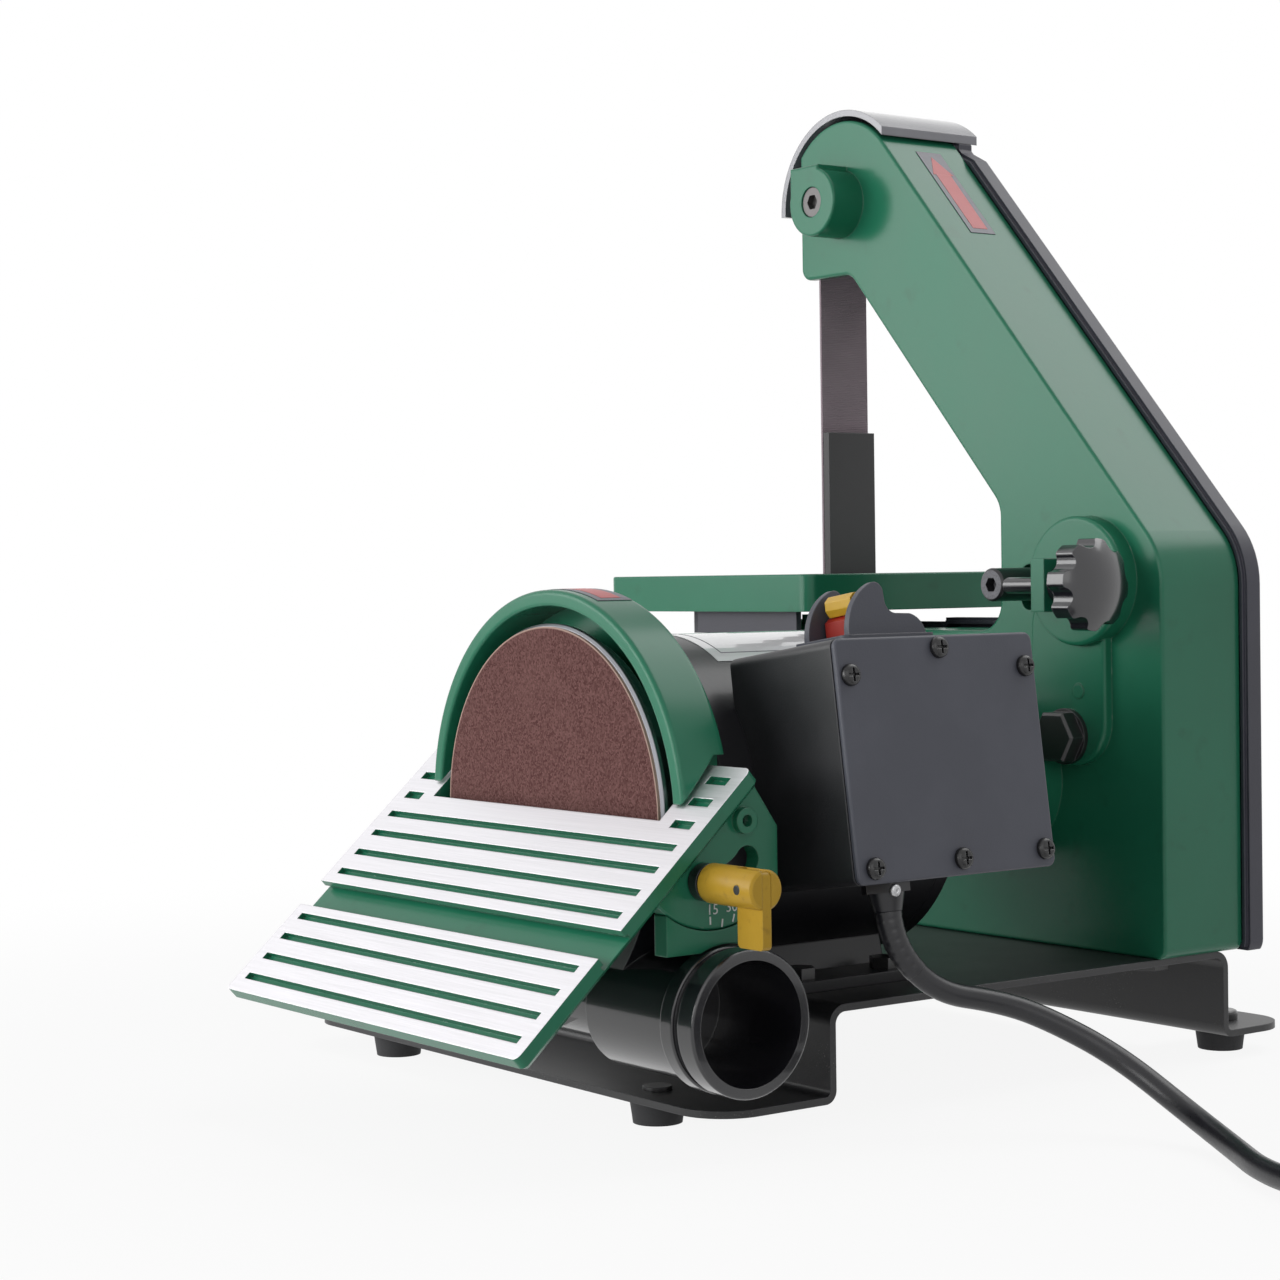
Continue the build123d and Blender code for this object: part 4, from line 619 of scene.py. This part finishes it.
# Strain relief. A ribbed boot of the same black plastic, moulded round the first stretch of the
# lead and thinner towards its end.
boot = bmesh.new()
boot_length, slice_length = 0.024, 0.0004
boot_radius, boot_taper, rib_height, rib_count = 4.3, 0.42, 0.1, 7.5
rings, gone, side = [], 0.0, Vector((1, 0, 0))
for here, there in zip(trace, trace[1:]):
    step = there - here
    if gone + step.length > boot_length:
        break
    axis = step.normalized()
    side = (side - axis * side.dot(axis)).normalized()
    slices = max(1, round(step.length / slice_length))
    for k in range(slices):
        reach = (gone + step.length * k / slices) / boot_length
        rib = rib_height if reach < 0.9 and (reach * rib_count) % 1.0 < 0.6 else 0.0
        radius = (boot_radius - boot_taper * reach + rib * (1 - 0.4 * reach)) / 1000
        rings.append(circle(boot, here + step * (k / slices), side, axis.cross(side), radius))
    gone += step.length
skin(boot, rings)
boot_piece = add_piece("strain_relief", boot, [cord_black], "machine")

# Tie. A strap of woven black cloth, pulled round both layers of the coil to keep them together;
# its loose end lies on top.
strap_cloth, place = coat("strap_cloth")
wave = {"Vector": place, "Scale": 900.0, "Distortion": 1.0, "Detail": 1.0}
rows = place.node("TexWave", {"bands_direction": "DIAGONAL"}, wave, "Fac")
base = tint(rows, paint(24, 24, 26), paint(46, 46, 50))
shade(strap_cloth, place, Base_Color=base, Roughness=0.8 + 0.1 * rows, Normal=relief(rows, 0.0002, 0.6))
tie = bmesh.new()
tie_reach = 39.5
tie_middle = last + leftward * (coil_span / 2) - ahead * tie_reach + Vector((0, 0, coil_pitch / 2))
half_out, half_up, corner, strap, half_wide = 13.85, 8.85, 3.0, 1.05, 3.9


def round_the_coil(offset, share):
    """Point of the strap's loop, offset outwards, at a share of its four corners and sides."""
    quarter, part = divmod(share * 4, 1.0)
    signs = [(1, 1), (-1, 1), (-1, -1), (1, -1)][int(quarter) % 4]
    angle = radians(90 * quarter + 90 * part)
    out = signs[0] * (half_out - corner) + (corner + offset) * cos(angle)
    up = signs[1] * (half_up - corner) + (corner + offset) * sin(angle)
    return tie_middle - ahead * out + Vector((0, 0, up))


def strap_loop(shape, offset, shares, closed):
    """Strap of even thickness along the loop, its long edges rounded."""
    edge, inset = 0.25, 0.3
    section = [(-half_wide, edge), (-half_wide + inset, 0.0), (half_wide - inset, 0.0), (half_wide, edge),
               (half_wide, strap - edge), (half_wide - inset, strap), (-half_wide + inset, strap),
               (-half_wide, strap - edge)]
    rings = [[shape.verts.new((round_the_coil(offset + h, s) + leftward * w) / 1000) for w, h in section]
             for s in shares]
    skin(shape, rings, closed)


strap_loop(tie, -strap, [(q + k / 8) / 4 for q in range(4) for k in range(8)], True)
strap_loop(tie, 0.03, [k / 32 for k in range(2, 8)] + [0.2499, 0.25], False)
tie_piece = add_piece("lead_tie", tie, [strap_cloth], "machine")
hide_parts("cord_tie")

# Plug. A black three-pin plug moulded on the end of the lead, with a ribbed neck; its two blades
# and its earth pin are nickel plated.
plug_black = satin_black("plug_black", (30, 30, 33), 0.4, 900.0)
nickel = bare_metal("nickel_pin", (196, 194, 188), 0.2, (400.0, 400.0, 2000.0))
plug = bmesh.new()
plug_sides = 40
above = Vector((0, 0, 1))


def plug_ring(reach, half_w, half_h, power):
    """Ring of a rounded section at a distance along the plug."""
    ring = []
    for k in range(plug_sides):
        c, s = cos(2 * pi * k / plug_sides), sin(2 * pi * k / plug_sides)
        w = half_w * abs(c) ** (2 / power) * (1 if c > 0 else -1)
        h = half_h * abs(s) ** (2 / power) * (1 if s > 0 else -1)
        ring.append(plug.verts.new((plug_at + ahead * reach + leftward * w + above * h) / 1000))
    return ring


rib_pitch = 3.6
sections = [(0.0, 4.6, 4.6, 2.0), (0.6, 5.0, 5.0, 2.0)]
for rib in range(5):
    swollen = 5.2 + 0.36 * rib
    for reach, more in ((1.4, 0.0), (3.4, 0.1), (3.8, -0.7), (4.6, -0.6)):
        sections.append((reach + rib_pitch * rib, swollen + more, swollen + more, 2.0))
sections += [(20.5, 7.0, 7.0, 2.0), (22.2, 8.6, 8.8, 2.4), (23.4, 10.6, 11.0, 2.8), (25.6, 11.9, 12.3, 3.2),
             (29.0, 11.6, 12.1, 3.6), (34.0, 11.3, 11.9, 3.8), (40.0, 11.9, 12.5, 3.8),
             (43.0, 12.3, 12.8, 3.8), (45.4, 12.3, 12.8, 3.8), (46.0, 11.8, 12.3, 3.8)]
skin(plug, [plug_ring(*section) for section in sections])
blade = [(45.5, 0.75, 3.25), (61.0, 0.75, 3.25), (62.4, 0.6, 2.6), (62.9, 0.35, 2.0)]
blade_apart, blade_up, earth_down = 12.7, 3.0, 6.5
for sideways in (-blade_apart / 2, blade_apart / 2):
    rings = []
    for reach, w, h in blade:
        centre = plug_at + ahead * reach + leftward * sideways + above * blade_up
        corners = [(-w, -h), (w, -h), (w, h), (-w, h)]
        rings.append([plug.verts.new((centre + leftward * i + above * j) / 1000) for i, j in corners])
    skin(plug, rings, smooth=False, material=1)
earth = [(45.5, 2.3), (62.5, 2.3), (64.4, 2.0), (65.5, 1.3), (65.9, 0.5)]
turned_stack(plug, (plug_at - above * earth_down) / 1000, ahead, leftward, earth, material=1)
plug_piece = add_piece("mains_plug", plug, [plug_black, nickel], "machine")
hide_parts("plug")
tuple(points[0] / 1000)

# Studio. A pale floor that fades to white and keeps the shadow, a white surround, and soft boxes
# on the left, behind on the left, above and in front.
floor_mesh = bpy.data.meshes.new("floor")
half = 6.0
floor_corners = [(-half, -half, 0), (half, -half, 0), (half, half, 0), (-half, half, 0)]
floor_mesh.from_pydata(floor_corners, [], [(0, 1, 2, 3)])
floor = bpy.data.objects.new("floor", floor_mesh)
bpy.context.scene.collection.objects.link(floor)
floor.location.z = -0.0002
floor_white, place = coat("floor_white")
ray = place.node("LightPath", {}, {}, "Is Camera Ray") + place.node("LightPath", {}, {}, "Is Glossy Ray")
ray = ray + place.node("LightPath", {}, {}, "Is Transmission Ray")
away = place.node("VectorMath", {"operation": "LENGTH"}, {0: place}, "Value")
matt = place.node("BsdfDiffuse", {}, {"Color": (0.86, 0.86, 0.86, 1.0)})
glow = place.node("Emission", {}, {"Color": (1.0, 1.0, 1.0, 1.0), "Strength": 1.0})
fade_from, fade_to = 0.25, 0.7
blank = (0.9 + 0.1 * ease(away, fade_from, fade_to)) * ray
surface = place.node("MixShader", {}, {0: blank, 1: matt, 2: glow})
place.node("OutputMaterial", {}, {"Surface": surface})
floor_mesh.materials.append(floor_white)

world = bpy.data.worlds.new("studio")
bpy.context.scene.world = world
world.use_nodes = True
world.node_tree.nodes.clear()
sky = Wire(world.node_tree.nodes.new("ShaderNodeLightPath").outputs["Is Camera Ray"])
seen = sky + sky.node("LightPath", {}, {}, "Is Glossy Ray")
seen = seen + sky.node("LightPath", {}, {}, "Is Transmission Ray")
plain = sky.node("Background", {}, {"Color": (1.0, 1.0, 1.0, 1.0), "Strength": 0.2})
white = sky.node("Background", {}, {"Color": (1.0, 1.0, 1.0, 1.0), "Strength": 1.0})
backdrop = sky.node("MixShader", {}, {0: seen, 1: plain, 2: white})
sky.node("OutputWorld", {}, {"Surface": backdrop})


def soft_box(name, place, aim, size, watts):
    """Area lamp of a size in metres that stands at a place and looks at its aim."""
    lamp = bpy.data.lights.new(name, "AREA")
    lamp.shape = "RECTANGLE"
    lamp.size, lamp.size_y = size
    lamp.energy = watts
    holder = bpy.data.objects.new(name, lamp)
    bpy.context.scene.collection.objects.link(holder)
    holder.location = place
    holder.rotation_euler = (Vector(aim) - Vector(place)).to_track_quat("-Z", "Y").to_euler()
    holder.visible_camera = False


soft_box("left_box", (-1.7, 0.2, 0.42), (0.0, 0.0, 0.2), (1.2, 0.7), 12.0)
soft_box("back_box", (-1.3, 1.05, 0.62), (0.1, 0.0, 0.3), (1.0, 0.9), 10.0)
soft_box("top_box", (0.95, -0.25, 1.45), (0.1, 0.0, 0.2), (1.2, 1.2), 10.5)
soft_box("front_box", (-0.75, -1.5, 0.75), (0.0, 0.0, 0.2), (1.2, 1.0), 4.0)

# Camera. It stands where the photograph was taken from, level with the middle of the machine,
# and takes in the same field.
yaw, pitch, roll = radians(36.185), radians(1.367), radians(0.845)
view_line = Vector((sin(yaw) * cos(pitch), cos(yaw) * cos(pitch), -sin(pitch)))
level = Vector((cos(yaw), -sin(yaw), 0.0))
down = view_line.cross(level)
right = cos(roll) * level + sin(roll) * down
low = -sin(roll) * level + cos(roll) * down
lens = bpy.data.cameras.new("camera")
film_width, focal_pixels, photo_pixels = 36.0, 2659.6, 1280.0
lens.sensor_width = film_width
lens.lens = film_width * focal_pixels / photo_pixels
lens.clip_end = 50.0
camera = bpy.data.objects.new("camera", lens)
bpy.context.scene.collection.objects.link(camera)
turn = Matrix((right, -low, -view_line)).transposed().to_4x4()
eye = (-0.61804, -0.7863, 0.183)
camera.matrix_world = Matrix.Translation(eye) @ turn
bpy.context.scene.camera = camera
bpy.context.scene.view_settings.view_transform = "Standard"
